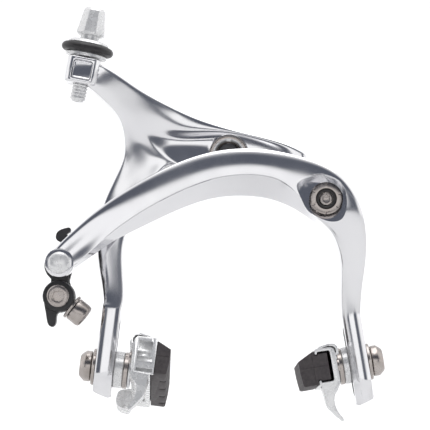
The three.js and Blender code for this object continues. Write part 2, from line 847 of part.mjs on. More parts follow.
function quickRelease() {
  const group = new THREE.Group();
  group.position.set(leverPivot.x, 0, leverPivot.z);
  const anchor = anchorFrame();
  const headBack = frontArmFront + 1.5 - seatGap;
  const headFront = headBack - anchorHeadHeight;
  const back = leverBack();
  const anchorBolt = cut(
    turned([
      [0, headFront],
      [anchorHeadRadius - 0.5, headFront],
      [anchorHeadRadius, headFront + 0.5],
      [anchorHeadRadius, headBack],
      [anchorBoltRadius, headBack],
      [anchorBoltRadius, back + 2.6],
      [0, back + 2.6],
    ]),
    hexSocket(1.6, headFront - 1, headFront + 2),
  );
  const washerFrom = anchorRadius - 0.2;
  const washerTo = washerFrom + 0.9;
  const capFrom = washerTo + turnedGap / 3;
  const capTo = capFrom + pinchHeadHeight;
  const pinchBolt = cut(
    join(pinchBar(pinchHeadRadius, capFrom, capTo), pinchBar(pinchShankRadius, 3.2, capFrom + 0.5)),
    pinchBar(1.9, capTo - 2.4, capTo + 1, 6),
  );
  const pinchWasher = cut(
    pinchBar(pinchHeadRadius + 0.3, washerFrom, washerTo),
    pinchBar(pinchShankRadius + turnedGap / 2, 0, 20),
  );
  const anchorNut = cut(
    bar(anchorNutRadius, back + seatGap, back + 2.4, anchor.x, anchor.z, 6),
    bar(anchorBoltRadius + seatGap, back - 1, back + 4, anchor.x, anchor.z),
  );
  group.add(
    piece("quick_release_lever", quickLever(), blackPlastic),
    piece("anchor_bolt", anchorBolt.translate(anchor.x, 0, anchor.z), steel),
    piece("anchor_nut", anchorNut, steel),
    piece("pinch_bolt", pinchBolt, steel),
    piece("pinch_washer", pinchWasher, steel),
  );
  return group;
}

function leverRivet() {
  const tipBack = leverBack();
  const front = frontArmFront;
  return turned([
    [0, front - 1.2],
    [1.8, front - 0.9],
    [rivetHeadRadius, front - seatGap],
    [rivetRadius, front - seatGap],
    [rivetRadius, tipBack + 0.2],
    [rivetRadius + 0.8, tipBack + 0.2],
    [rivetRadius + 0.4, tipBack + 1],
    [0, tipBack + 1.1],
  ]).translate(leverPivot.x, 0, leverPivot.z);
}

// Brake shoes, each in a frame on its pad bolt: +X points outwards, -X at the rim ----------------

function shoeBack(spacer) {
  return -(legGauge / 2) - spacer - dishStack - 3 * seatGap - turnedGap;
}

function shoeBolt(spacer) {
  const headFrom = legGauge / 2 + outerWasherThick + turnedGap;
  const headTo = headFrom + boltHeadHeight;
  const foot = shoeBack(spacer) - holderBackWall + 0.2;
  const shank = padBoltRadius;
  return alongX(
    cut(
      turned([
        [0, foot],
        [shank, foot],
        [shank, headFrom],
        [boltHeadRadius, headFrom],
        [boltHeadRadius, headTo - 1.4],
        [boltHeadRadius - 0.7, headTo - 0.4],
        [boltHeadRadius - 1.6, headTo],
        [0, headTo],
      ]),
      hexSocket(2.9, headTo - 2.4, headTo + 1),
    ),
  );
}

function concaveWasher(start) {
  const inner = padBoltRadius + runningGap;
  return alongX(
    turned([
      [inner, start],
      [inner, start - 0.5],
      [dishRadius, start - 1.4],
      [dishRadius, start],
      [inner, start],
    ]),
  );
}

function convexWasher(start) {
  const inner = padBoltRadius + runningGap;
  return alongX(
    turned([
      [inner, start - 0.6],
      [inner, start - dishStack],
      [dishRadius - 0.4, start - dishStack],
      [dishRadius - 0.4, start - 1.5],
      [inner, start - 0.6],
    ]),
  );
}

function padHolder(back) {
  const half = holderHeight / 2;
  const mouth = back - holderDepth;
  const channel = [
    [back, half - 1],
    [back - 1, half],
    [mouth, half],
    [mouth, half - holderWall],
    [back - holderBackWall, half - holderWall],
    [back - holderBackWall, holderWall - half],
    [mouth, holderWall - half],
    [mouth, -half],
    [back - 1, -half],
    [back, 1 - half],
  ];
  const tip = -half - finDrop;
  const fin = [
    [mouth + 0.8, 0.2 - half],
    [mouth + 0.7, tip + 8],
    [mouth + 0.9, tip + 5],
    [mouth + 2.2, tip + 2.8],
    [mouth + 4.7, tip - 0.3],
    [mouth + 5.3, tip + 0.3],
    [mouth + 4, tip + 2.5],
    [mouth + 3.3, tip + 5],
    [mouth + 3.6, tip + 7.3],
    [mouth + 4.6, tip + 8.7],
    [mouth + 6, 0.2 - half],
  ];
  const front = -shoeLength / 2;
  const stop = new THREE.BoxGeometry(holderDepth, 1.6, holderHeight - 0.4).translate(
    back - holderDepth / 2,
    shoeLength / 2 - 0.8,
    0,
  );
  return cut(
    join(plate(channel, front, shoeLength / 2), plate(fin, front, front + finLength), stop),
    alongX(bar(padBoltRadius + runningGap, back - holderBackWall - 1, back + 1)),
    alongX(bar(1.1, back - holderBackWall - 1, back + 1, 0, 0, 16)).translate(0, front + 6, 0),
  );
}

function brakePad(back) {
  const mouth = back - holderDepth;
  const inside = back - holderBackWall - turnedGap;
  const slide = holderHeight / 2 - holderWall - turnedGap;
  const half = holderHeight / 2 - 0.4;
  const face = mouth - rubberProud;
  const low = -half;
  const outline = [
    [inside, slide],
    [mouth - turnedGap, slide],
    [mouth - turnedGap, half],
    [face, low + rubberFaceHeight],
    [face, low],
    [mouth - turnedGap, low],
    [mouth - turnedGap, -slide],
    [inside, -slide],
  ];
  const grooves = [-0.28, 0, 0.28].map((share) =>
    new THREE.BoxGeometry(2 * grooveDepth, grooveWidth, 20).translate(face, share * shoeLength, 0),
  );
  return cut(plate(outline, -shoeLength / 2, shoeLength / 2 - 1.6 - turnedGap), ...grooves);
}

function padScrew(back) {
  return alongX(
    cut(
      turned([
        [0, back - holderBackWall + 0.1],
        [1, back - holderBackWall + 0.1],
        [1, back + 0.2],
        [1.9, back + 0.2],
        [1.6, back + 1],
        [0, back + 1],
      ], 20),
      hexSocket(0.8, back + 0.2, back + 2),
    ),
  ).translate(0, 6 - shoeLength / 2, 0);
}

// The left shoe is the right one mirrored, so the guide fins stay at the front ends.
function shoe(side) {
  const name = side > 0 ? "right" : "left";
  const leg = side > 0 ? rightLeg : leftLeg;
  const spacer = side > 0 ? rightSpacerThick : leftSpacerThick;
  const armFace = legGauge / 2;
  const spacerBack = armFace + seatGap;
  const dishStart = -spacerBack - spacer - seatGap;
  const back = shoeBack(spacer);
  const bore = padBoltRadius + runningGap;
  const group = new THREE.Group();
  group.position.set(leg.bolt.x, padPlane, leg.bolt.z);
  group.rotation.y = leg.turn;
  group.scale.x = side;
  const washer = ring(outerWasherRadius, bore, armFace + seatGap, armFace + seatGap + outerWasherThick);
  const spacerRing = ring(dishRadius, bore, -spacerBack - spacer, -spacerBack);
  const tipped = new THREE.Group();
  tipped.rotation.x = rad(side > 0 ? rightPitch : leftPitch);
  tipped.add(
    piece(`${name}_convex_washer`, convexWasher(dishStart), steel),
    piece(`${name}_pad_holder`, padHolder(back), alloy),
    piece(`${name}_brake_pad`, brakePad(back), padRubber),
    piece(`${name}_pad_screw`, padScrew(back), steel),
  );
  group.add(
    piece(`${name}_shoe_bolt`, shoeBolt(spacer), steel),
    piece(`${name}_outer_washer`, alongX(washer), steel),
    piece(`${name}_spacer`, alongX(spacerRing), alloy),
    piece(`${name}_concave_washer`, concaveWasher(dishStart), steel),
    tipped,
  );
  return group;
}

// Assembly ----------------------------------------------------------------------------------------

function bush(x, z, front, back) {
  return ring(pivotPinRadius + bushWall, pivotPinRadius + runningGap, front, back).translate(x, 0, z);
}

const caliper = new THREE.Group();
const centreBush = bush(0, 0, rearArmFront + counterboreDepth, rearArmBack);
const sideBush = bush(
  sidePivot.x,
  sidePivot.z,
  frontArmFront + pocketDepth + seatGap,
  backPlateFront - thrustWasherThick - 2 * seatGap,
);
caliper.add(
  core(),
  piece("rear_arm", rearArm(), alloy),
  piece("centre_bushing", centreBush, steel),
  piece("centring_screw", centringScrew(), steel),
  piece("spring_slider", springSlider(), blackPlastic),
  piece("front_arm", frontArm(), alloy),
  piece("side_bushing", sideBush, steel),
  piece("cam_pin", camPin(), steel),
  piece("lever_rivet", leverRivet(), steel),
  adjuster(),
  quickRelease(),
  shoe(1),
  shoe(-1),
);

export default caliper;
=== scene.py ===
# Dual-pivot rim brake caliper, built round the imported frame. Sizes are millimetres, and mm turns them into metres.
import json
import math
import bmesh
import bpy
from mathutils import Matrix, Vector


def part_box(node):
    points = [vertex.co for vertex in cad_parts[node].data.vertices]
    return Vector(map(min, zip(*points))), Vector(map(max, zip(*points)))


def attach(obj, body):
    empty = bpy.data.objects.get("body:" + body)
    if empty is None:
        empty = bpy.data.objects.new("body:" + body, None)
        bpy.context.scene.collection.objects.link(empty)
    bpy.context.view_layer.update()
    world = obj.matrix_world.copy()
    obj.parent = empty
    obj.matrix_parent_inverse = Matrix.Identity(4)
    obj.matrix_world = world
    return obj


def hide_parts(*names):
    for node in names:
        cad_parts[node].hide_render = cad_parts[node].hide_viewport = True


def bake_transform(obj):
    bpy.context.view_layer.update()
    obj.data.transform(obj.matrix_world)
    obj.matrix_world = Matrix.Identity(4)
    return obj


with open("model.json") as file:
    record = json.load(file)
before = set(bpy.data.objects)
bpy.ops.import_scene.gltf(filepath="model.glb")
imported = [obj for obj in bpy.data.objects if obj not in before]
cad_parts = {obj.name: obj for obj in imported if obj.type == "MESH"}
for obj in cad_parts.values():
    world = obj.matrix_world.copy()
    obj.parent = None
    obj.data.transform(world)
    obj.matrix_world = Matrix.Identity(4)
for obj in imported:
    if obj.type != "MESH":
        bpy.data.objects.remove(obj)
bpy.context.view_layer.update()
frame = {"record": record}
mm = 0.001
joints = {joint["name"]: joint for joint in frame["record"]["behaviour"]["joints"]}


def millimetres(values):
    return Vector(values) / mm


def nodeBox(node):
    low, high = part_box(node)
    return millimetres(low), millimetres(high)


def backOf(node):
    return nodeBox(node)[1].y


def frontOf(node):
    return nodeBox(node)[0].y


# pivots and axes come from the frame
sidePivot = millimetres(joints["front_arm_pivot"]["pos_m"])
leverPivot = millimetres(joints["lever_turn"]["pos_m"])
adjusterSeat = millimetres(joints["adjuster_wheel_turn"]["pos_m"])
adjusterAxis = Vector(joints["adjuster_wheel_turn"]["axis"]).normalized()
backward = Vector((0, 1, 0))
print("frame loaded")


def clearSelection():
    if bpy.context.object and bpy.context.object.mode != "OBJECT":
        bpy.ops.object.mode_set(mode="OBJECT")
    bpy.ops.object.select_all(action="DESELECT")


def makeActive(piece):
    clearSelection()
    piece.select_set(True)
    bpy.context.view_layer.objects.active = piece


def editPiece(piece, mode="VERT"):
    makeActive(piece)
    bpy.ops.object.mode_set(mode="EDIT")
    bpy.ops.mesh.select_mode(type=mode)
    bpy.ops.mesh.select_all(action="DESELECT")
    return bmesh.from_edit_mesh(piece.data)


def closePiece(piece):
    bpy.ops.object.mode_set(mode="OBJECT")
    return piece


def pointOut(piece):
    editPiece(piece)
    bpy.ops.mesh.select_all(action="SELECT")
    bpy.ops.mesh.normals_make_consistent(inside=False)
    return closePiece(piece)


def useModifier(piece, kind, **settings):
    makeActive(piece)
    modifier = piece.modifiers.new(kind.title(), kind)
    for key, value in settings.items():
        setattr(modifier, key, value)
    bpy.ops.object.modifier_apply(modifier=modifier.name)
    return piece


def breakEdges(piece, width, segments=2, angle=35):
    return useModifier(piece, "BEVEL", width=width * mm, segments=segments, limit_method="ANGLE",
                       angle_limit=math.radians(angle), use_clamp_overlap=True)


def smoothShade(piece, angle=35):
    makeActive(piece)
    bpy.ops.object.shade_smooth_by_angle(angle=math.radians(angle))
    return piece


def carve(piece, *cutters):
    for cutter in cutters:
        useModifier(piece, "BOOLEAN", object=cutter, operation="DIFFERENCE", solver="EXACT")
        bpy.data.objects.remove(cutter)
    return piece


def weld(piece, *others):
    for other in others:
        useModifier(piece, "BOOLEAN", object=other, operation="UNION", solver="EXACT")
        bpy.data.objects.remove(other)
    return piece


def settle(piece, place=(0, 0, 0), axis=(0, 0, 1), spin=0.0):
    # stands a piece that was made along Z on its place, with its Z turned to the axis
    makeActive(piece)
    turn = Vector((0, 0, 1)).rotation_difference(Vector(axis)).to_matrix().to_4x4()
    piece.matrix_world = Matrix.Translation(Vector(place) * mm) @ turn @ Matrix.Rotation(spin, 4, "Z")
    bpy.ops.object.transform_apply(location=True, rotation=True, scale=True)
    return piece


def turnedPiece(name, profile, place=(0, 0, 0), axis=(0, 0, 1), sides=48):
    # a closed outline of (radius, height) points, spun round the axis
    clearSelection()
    bpy.ops.mesh.primitive_circle_add(vertices=len(profile), radius=mm, fill_type="NOTHING")
    piece = bpy.context.object
    piece.name = name
    mesh = editPiece(piece)
    mesh.verts.ensure_lookup_table()
    for vertex, (radius, height) in zip(mesh.verts, profile):
        vertex.co = Vector((radius, 0, height)) * mm
    bpy.ops.mesh.select_all(action="SELECT")
    bpy.ops.mesh.spin(steps=sides, angle=2 * math.pi, center=(0, 0, 0), axis=(0, 0, 1))
    bpy.ops.mesh.select_all(action="SELECT")
    bpy.ops.mesh.remove_doubles(threshold=0.002 * mm)
    bpy.ops.mesh.dissolve_degenerate(threshold=0.001 * mm)
    bpy.ops.mesh.select_all(action="SELECT")
    bpy.ops.mesh.normals_make_consistent(inside=False)
    closePiece(piece)
    return settle(piece, place, axis)


def roundBar(name, radius, start, end, sides=48, spin=0.0):
    start, end = Vector(start), Vector(end)
    clearSelection()
    bpy.ops.mesh.primitive_cylinder_add(vertices=sides, radius=radius * mm, depth=(end - start).length * mm)
    piece = bpy.context.object
    piece.name = name
    return settle(piece, (start + end) / 2, end - start, spin)


def outlinePiece(name, outline, front, back):
    # a flat outline of (x, z) points, filled and drawn back along Y
    clearSelection()
    bpy.ops.mesh.primitive_circle_add(vertices=len(outline), radius=mm, fill_type="NGON")
    piece = bpy.context.object
    piece.name = name
    mesh = editPiece(piece, "FACE")
    mesh.verts.ensure_lookup_table()
    for vertex, (x, z) in zip(mesh.verts, outline):
        vertex.co = Vector((x, front, z)) * mm
    bpy.ops.mesh.select_all(action="SELECT")
    bpy.ops.mesh.extrude_region_move(TRANSFORM_OT_translate={"value": (0, (back - front) * mm, 0)})
    bpy.ops.mesh.select_all(action="SELECT")
    bpy.ops.mesh.normals_make_consistent(inside=False)
    return closePiece(piece)


def boxPiece(name, low, high):
    clearSelection()
    low, high = Vector(low), Vector(high)
    bpy.ops.mesh.primitive_cube_add(size=mm, location=(low + high) / 2 * mm)
    piece = bpy.context.object
    piece.name = name
    piece.scale = high - low
    bpy.ops.object.transform_apply(location=True, rotation=True, scale=True)
    return piece


def arcPoints(x, z, radius, start, end, count):
    turns = [math.radians(start + (end - start) * i / count) for i in range(count + 1)]
    return [(x + radius * math.cos(turn), z + radius * math.sin(turn)) for turn in turns]


def smoothOutline(points, perSpan=5):
    # a smooth closed outline through a few points
    smooth = []
    count = len(points)
    for i in range(count):
        a, b, c, d = (Vector(points[(i + k) % count]) for k in (-1, 0, 1, 2))
        for step in range(perSpan):
            t = step / perSpan
            smooth.append(tuple(0.5 * (2 * b + (c - a) * t + (2 * a - 5 * b + 4 * c - d) * t * t
                                       + (3 * b - a - 3 * c + d) * t ** 3)))
    return smooth


def pointKey(co):
    return tuple(round(value / mm, 3) for value in co)


def extrudeTo(piece, before, after):
    # extrudes what is selected and carries each of its points from one list of places to the next
    bpy.ops.mesh.extrude_region_move()
    mesh = bmesh.from_edit_mesh(piece.data)
    target = {pointKey(old * mm): new * mm for old, new in zip(before, after)}
    for vertex in mesh.verts:
        if vertex.select:
            vertex.co = target[pointKey(vertex.co)]
    bmesh.update_edit_mesh(piece.data)


def pickFaces(mesh, piece, places):
    wanted = {pointKey(place * mm) for place in places}
    for face in mesh.faces:
        face.select = all(pointKey(vertex.co) in wanted for vertex in face.verts)
    mesh.select_flush_mode()
    bmesh.update_edit_mesh(piece.data)


def creaseLines(piece, lines, sharpness):
    # hardens the edges that run along each line of places
    mesh = editPiece(piece, "EDGE")
    for line in lines:
        wanted = {pointKey(place * mm) for place in line}
        for edge in mesh.edges:
            if all(pointKey(vertex.co) in wanted for vertex in edge.verts):
                edge.select = True
    mesh.select_flush_mode()
    bmesh.update_edit_mesh(piece.data)
    bpy.ops.transform.edge_crease(value=sharpness)
    return closePiece(piece)


def outwardSides(stations):
    # the outer side of a route in the XZ plane, at each of its stations
    sides = []
    for i in range(len(stations)):
        before = stations[max(i - 1, 0)]
        after = stations[min(i + 1, len(stations) - 1)]
        along = Vector((after["x"] - before["x"], 0, after["z"] - before["z"])).normalized()
        sides.append(Vector((-along.z, 0, along.x)))
    return sides


def sectionRing(station, outward):
    # fourteen points round an arm: back from the top edge, along the underside and up the front face
    up, lip, down = station["up"], station["lip"], station["down"]
    front, back, soft = station["front"], station["back"], station["soft"]
    top, low = front + station["edge"], front + station["lipDepth"]
    under = [(-down + (down - lip) * k, back + (low - back) * k) for k in (0.14, 0.9)]
    face = [(up - (up + lip) * share, front + depth) for share, depth in station["face"]]
    ring = [(up, top), (up, top + soft * 0.6), (up, back - soft), (up - soft * 0.3, back - soft * 0.1),
            (up - soft, back), (soft - down, back), (-down, back), under[0], under[1], (-lip, low)]
    ring += reversed(face)
    middle = Vector((station["x"], 0, station["z"]))
    return [middle + outward * side + Vector((0, depth, 0)) for side, depth in ring]


def forgedStrip(name, stations):
    # a loop drawn at the first station and extruded from station to station
    rings = [sectionRing(s, n) for s, n in zip(stations, outwardSides(stations))]
    clearSelection()
    bpy.ops.mesh.primitive_circle_add(vertices=len(rings[0]), radius=mm, fill_type="NGON")
    piece = bpy.context.object
    piece.name = name
    mesh = editPiece(piece, "FACE")
    mesh.verts.ensure_lookup_table()
    for vertex, place in zip(mesh.verts, rings[0]):
        vertex.co = place * mm
    bpy.ops.mesh.select_all(action="SELECT")
    for before, after in zip(rings, rings[1:]):
        extrudeTo(piece, before, after)
    return pointOut(closePiece(piece)), rings


def newMaterial(name, color, metallic, roughness):
    material = bpy.data.materials.new(name)
    material.use_nodes = True
    nodes, links = material.node_tree.nodes, material.node_tree.links
    shader = nodes["Principled BSDF"]
    shader.inputs["Base Color"].default_value = (*color, 1)
    shader.inputs["Metallic"].default_value = metallic
    shader.inputs["Roughness"].default_value = roughness
    place = nodes.new("ShaderNodeTexCoord")
    return material, nodes, links, shader, place


def addNoise(nodes, links, place, scale, detail=4.0, stretch=(1, 1, 1)):
    mapping = nodes.new("ShaderNodeMapping")
    mapping.inputs["Scale"].default_value = stretch
    noise = nodes.new("ShaderNodeTexNoise")
    noise.inputs["Scale"].default_value = scale
    noise.inputs["Detail"].default_value = detail
    links.new(place.outputs["Object"], mapping.inputs["Vector"])
    links.new(mapping.outputs["Vector"], noise.inputs["Vector"])
    return noise.outputs["Fac"]


def spread(nodes, links, source, low, high, start=0.35, end=0.65):
    span = nodes.new("ShaderNodeMapRange")
    span.inputs["From Min"].default_value = start
    span.inputs["From Max"].default_value = end
    span.inputs["To Min"].default_value = low
    span.inputs["To Max"].default_value = high
    links.new(source, span.inputs["Value"])
    return span.outputs["Result"]


def tint(nodes, links, source, dark, light, shader):
    ramp = nodes.new("ShaderNodeValToRGB")
    ramp.color_ramp.elements[0].color = (*dark, 1)
    ramp.color_ramp.elements[0].position = 0.3
    ramp.color_ramp.elements[1].color = (*light, 1)
    ramp.color_ramp.elements[1].position = 0.7
    links.new(source, ramp.inputs["Fac"])
    links.new(ramp.outputs["Color"], shader.inputs["Base Color"])


def relief(nodes, links, source, strength, depth, shader, under=None):
    bump = nodes.new("ShaderNodeBump")
    bump.inputs["Strength"].default_value = strength
    bump.inputs["Distance"].default_value = depth * mm
    links.new(source, bump.inputs["Height"])
    if under:
        links.new(under, bump.inputs["Normal"])
    links.new(bump.outputs["Normal"], shader.inputs["Normal"])
    return bump.outputs["Normal"]


def polishedAlloy():
    # buffed forged aluminium: a faint haze, buffing lines and a very slight ripple
    material, nodes, links, shader, place = newMaterial("polished_alloy", (0.76, 0.757, 0.775), 1, 0.14)
    haze = addNoise(nodes, links, place, 90, 5)
    links.new(spread(nodes, links, haze, 0.1, 0.19), shader.inputs["Roughness"])
    tint(nodes, links, addNoise(nodes, links, place, 40, 3), (0.735, 0.732, 0.755), (0.785, 0.783, 0.795), shader)
    ripple = relief(nodes, links, addNoise(nodes, links, place, 55, 2), 0.05, 0.25, shader)
    lines = addNoise(nodes, links, place, 900, 2, (0.25, 1, 1))
    relief(nodes, links, lines, 0.05, 0.02, shader, ripple)
    return material


def turnedSteel():
    # nickel-plated steel, warmer and duller than the alloy
    material, nodes, links, shader, place = newMaterial("nickel_steel", (0.43, 0.39, 0.37), 1, 0.24)
    blotch = addNoise(nodes, links, place, 260, 4)
    links.new(spread(nodes, links, blotch, 0.17, 0.3), shader.inputs["Roughness"])
    tint(nodes, links, blotch, (0.36, 0.325, 0.305), (0.5, 0.46, 0.44), shader)
    relief(nodes, links, addNoise(nodes, links, place, 900, 1, (1, 0.3, 1)), 0.04, 0.015, shader)
    return material


def brightAlloy():
    # machined alloy with fine turning marks
    material, nodes, links, shader, place = newMaterial("machined_alloy", (0.78, 0.78, 0.785), 0.4, 0.26)
    grain = addNoise(nodes, links, place, 600, 1)
    links.new(spread(nodes, links, grain, 0.2, 0.32), shader.inputs["Roughness"])
    tint(nodes, links, addNoise(nodes, links, place, 90, 2), (0.75, 0.751, 0.754), (0.79, 0.79, 0.795), shader)
    relief(nodes, links, grain, 0.03, 0.01, shader)
    return material


def satinAlloy():
    # bead-blasted alloy, on what is out of sight in use
    material, nodes, links, shader, place = newMaterial("satin_alloy", (0.7, 0.705, 0.72), 1, 0.36)
    grain = addNoise(nodes, links, place, 1500, 3)
    links.new(spread(nodes, links, grain, 0.3, 0.44), shader.inputs["Roughness"])
    tint(nodes, links, addNoise(nodes, links, place, 120, 4), (0.66, 0.665, 0.68), (0.76, 0.765, 0.78), shader)
    relief(nodes, links, grain, 0.25, 0.03, shader)
    return material


def blackMoulding():
    # glass-filled moulding with a fine spark-eroded grain
    material, nodes, links, shader, place = newMaterial("black_moulding", (0.018, 0.018, 0.02), 0, 0.4)
    grain = addNoise(nodes, links, place, 1800, 4)
    links.new(spread(nodes, links, grain, 0.32, 0.5), shader.inputs["Roughness"])
    tint(nodes, links, addNoise(nodes, links, place, 200, 4), (0.011, 0.011, 0.013), (0.026, 0.025, 0.028), shader)
    relief(nodes, links, grain, 0.3, 0.04, shader)
    return material


def ringRubber():
    material, nodes, links, shader, place = newMaterial("ring_rubber", (0.014, 0.013, 0.014), 0, 0.4)
    grain = addNoise(nodes, links, place, 900, 4)
    links.new(spread(nodes, links, grain, 0.32, 0.55), shader.inputs["Roughness"])
    tint(nodes, links, grain, (0.009, 0.008, 0.009), (0.024, 0.021, 0.023), shader)
    relief(nodes, links, grain, 0.2, 0.04, shader)
    return material


def padCompound():
    # moulded brake compound: matt and grainy, with paler specks
    material, nodes, links, shader, place = newMaterial("pad_compound", (0.055, 0.046, 0.05), 0, 0.7)
    speck = addNoise(nodes, links, place, 1100, 6)
    tint(nodes, links, speck, (0.036, 0.03, 0.033), (0.075, 0.066, 0.068), shader)
    links.new(spread(nodes, links, speck, 0.55, 0.8), shader.inputs["Roughness"])
    relief(nodes, links, speck, 0.45, 0.08, shader)
    return material


def darkCap():
    material, nodes, links, shader, place = newMaterial("dark_cap", (0.06, 0.06, 0.065), 0.7, 0.3)
    grain = addNoise(nodes, links, place, 700, 4)
    tint(nodes, links, grain, (0.045, 0.045, 0.05), (0.09, 0.09, 0.096), shader)
    links.new(spread(nodes, links, grain, 0.24, 0.38), shader.inputs["Roughness"])
    relief(nodes, links, grain, 0.15, 0.03, shader)
    return material


alloyFinish = polishedAlloy()
machinedFinish = brightAlloy()
satinFinish = satinAlloy()
steelFinish = turnedSteel()
blackFinish = blackMoulding()
ringFinish = ringRubber()
padFinish = padCompound()
capFinish = darkCap()
print("finishes made")


def finishPiece(piece, material, body, slot, *nodes):
    piece.data.materials.clear()
    piece.data.materials.append(material)
    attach(piece, body)
    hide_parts(*nodes)
    return piece


def legFrame(side):
    # a pad bolt's place, which way is outwards along it, and how far it can be set along its slot
    bolt = millimetres(joints[side + "_pad_pitch"]["pos_m"])
    axis = Vector(joints[side + "_pad_pitch"]["axis"])
    low, high = joints[side + "_pad_height"]["range_m"]
    return {"bolt": bolt, "out": axis if axis.x * bolt.x > 0 else -axis,
            "down": Vector(joints[side + "_pad_height"]["axis"]), "above": -low / mm, "below": high / mm}


legs = {"right": legFrame("right"), "left": legFrame("left")}
legMetal = {"gauge": 5.6, "half": 8, "slotHalf": 3.15, "endWall": 3, "flat": 6.6}
legFace = [(0.12, 0.75), (0.34, 0.05), (0.66, 0.05), (0.88, 0.75)]


def legStation(leg, distance, **more):
    place = leg["bolt"] + leg["down"] * distance
    station = {"x": place.x, "z": place.z, "up": legMetal["gauge"] / 2, "lip": legMetal["gauge"] / 2,
               "down": legMetal["gauge"] / 2, "front": place.y - legMetal["half"],
               "back": place.y + legMetal["half"], "soft": 1.1, "edge": 1.5, "lipDepth": 1.5, "face": legFace}
    station.update(more)
    return station


def legEnd(leg):
    return leg["below"] + legMetal["slotHalf"] + legMetal["endWall"]


def slotCutter(leg):
    # a bar with rounded ends, along the pad bolt
    half = legMetal["slotHalf"]
    outline = arcPoints(0, leg["above"], half, 0, 180, 12) + arcPoints(0, -leg["below"], half, 180, 360, 12)
    piece = outlinePiece("slot_cutter", outline, -15, 15)
    up = -leg["down"]
    across = up.cross(leg["out"])
    turn = Matrix((across, leg["out"], up)).transposed().to_4x4()
    piece.matrix_world = Matrix.Translation(leg["bolt"] * mm) @ turn
    makeActive(piece)
    bpy.ops.object.transform_apply(location=True, rotation=True, scale=True)
    return pointOut(piece)


def endCutter(leg):
    # trims a leg's end to a slant that is higher on the outside, with round corners
    half, end = legMetal["gauge"] / 2, -legEnd(leg)
    outline = [(-half - 2, end + 1.2), (-half, end + 0.9), (0.15 - half, end + 0.35), (0.6 - half, end + 0.1),
               (1.1 - half, end + 0.1), (half - 0.9, end + 1.15), (half - 0.3, end + 1.5), (half - 0.05, end + 2.1),
               (half, end + 2.6), (half + 2, end + 2.8), (half + 2, end - 6), (-half - 2, end - 6)]
    piece = outlinePiece("end_cutter", outline, -15, 15)
    turn = Matrix((leg["out"], (0, 1, 0), -leg["down"])).transposed().to_4x4()
    piece.matrix_world = Matrix.Translation(leg["bolt"] * mm) @ turn
    makeActive(piece)
    bpy.ops.object.transform_apply(location=True, rotation=True, scale=True)
    return pointOut(piece)


armFace = [(0.09, 0.95), (0.3, 0.42), (0.56, 0.04), (0.86, 0)]
tipFace = [(0.1, 0.35), (0.36, 0.5), (0.6, 0.75), (0.88, 0.25)]
shoulderFace = [(0.08, 0.8), (0.24, 0.5), (0.5, 0.2), (0.9, 0.2)]


def frontStation(x, z, up, lip, down, front, back, **more):
    station = {"x": x, "z": z, "up": up, "lip": lip, "down": down, "front": front, "back": back, "soft": 1.2,
               "edge": 1.5, "lipDepth": 0.1, "face": armFace}
    station.update(more)
    return station


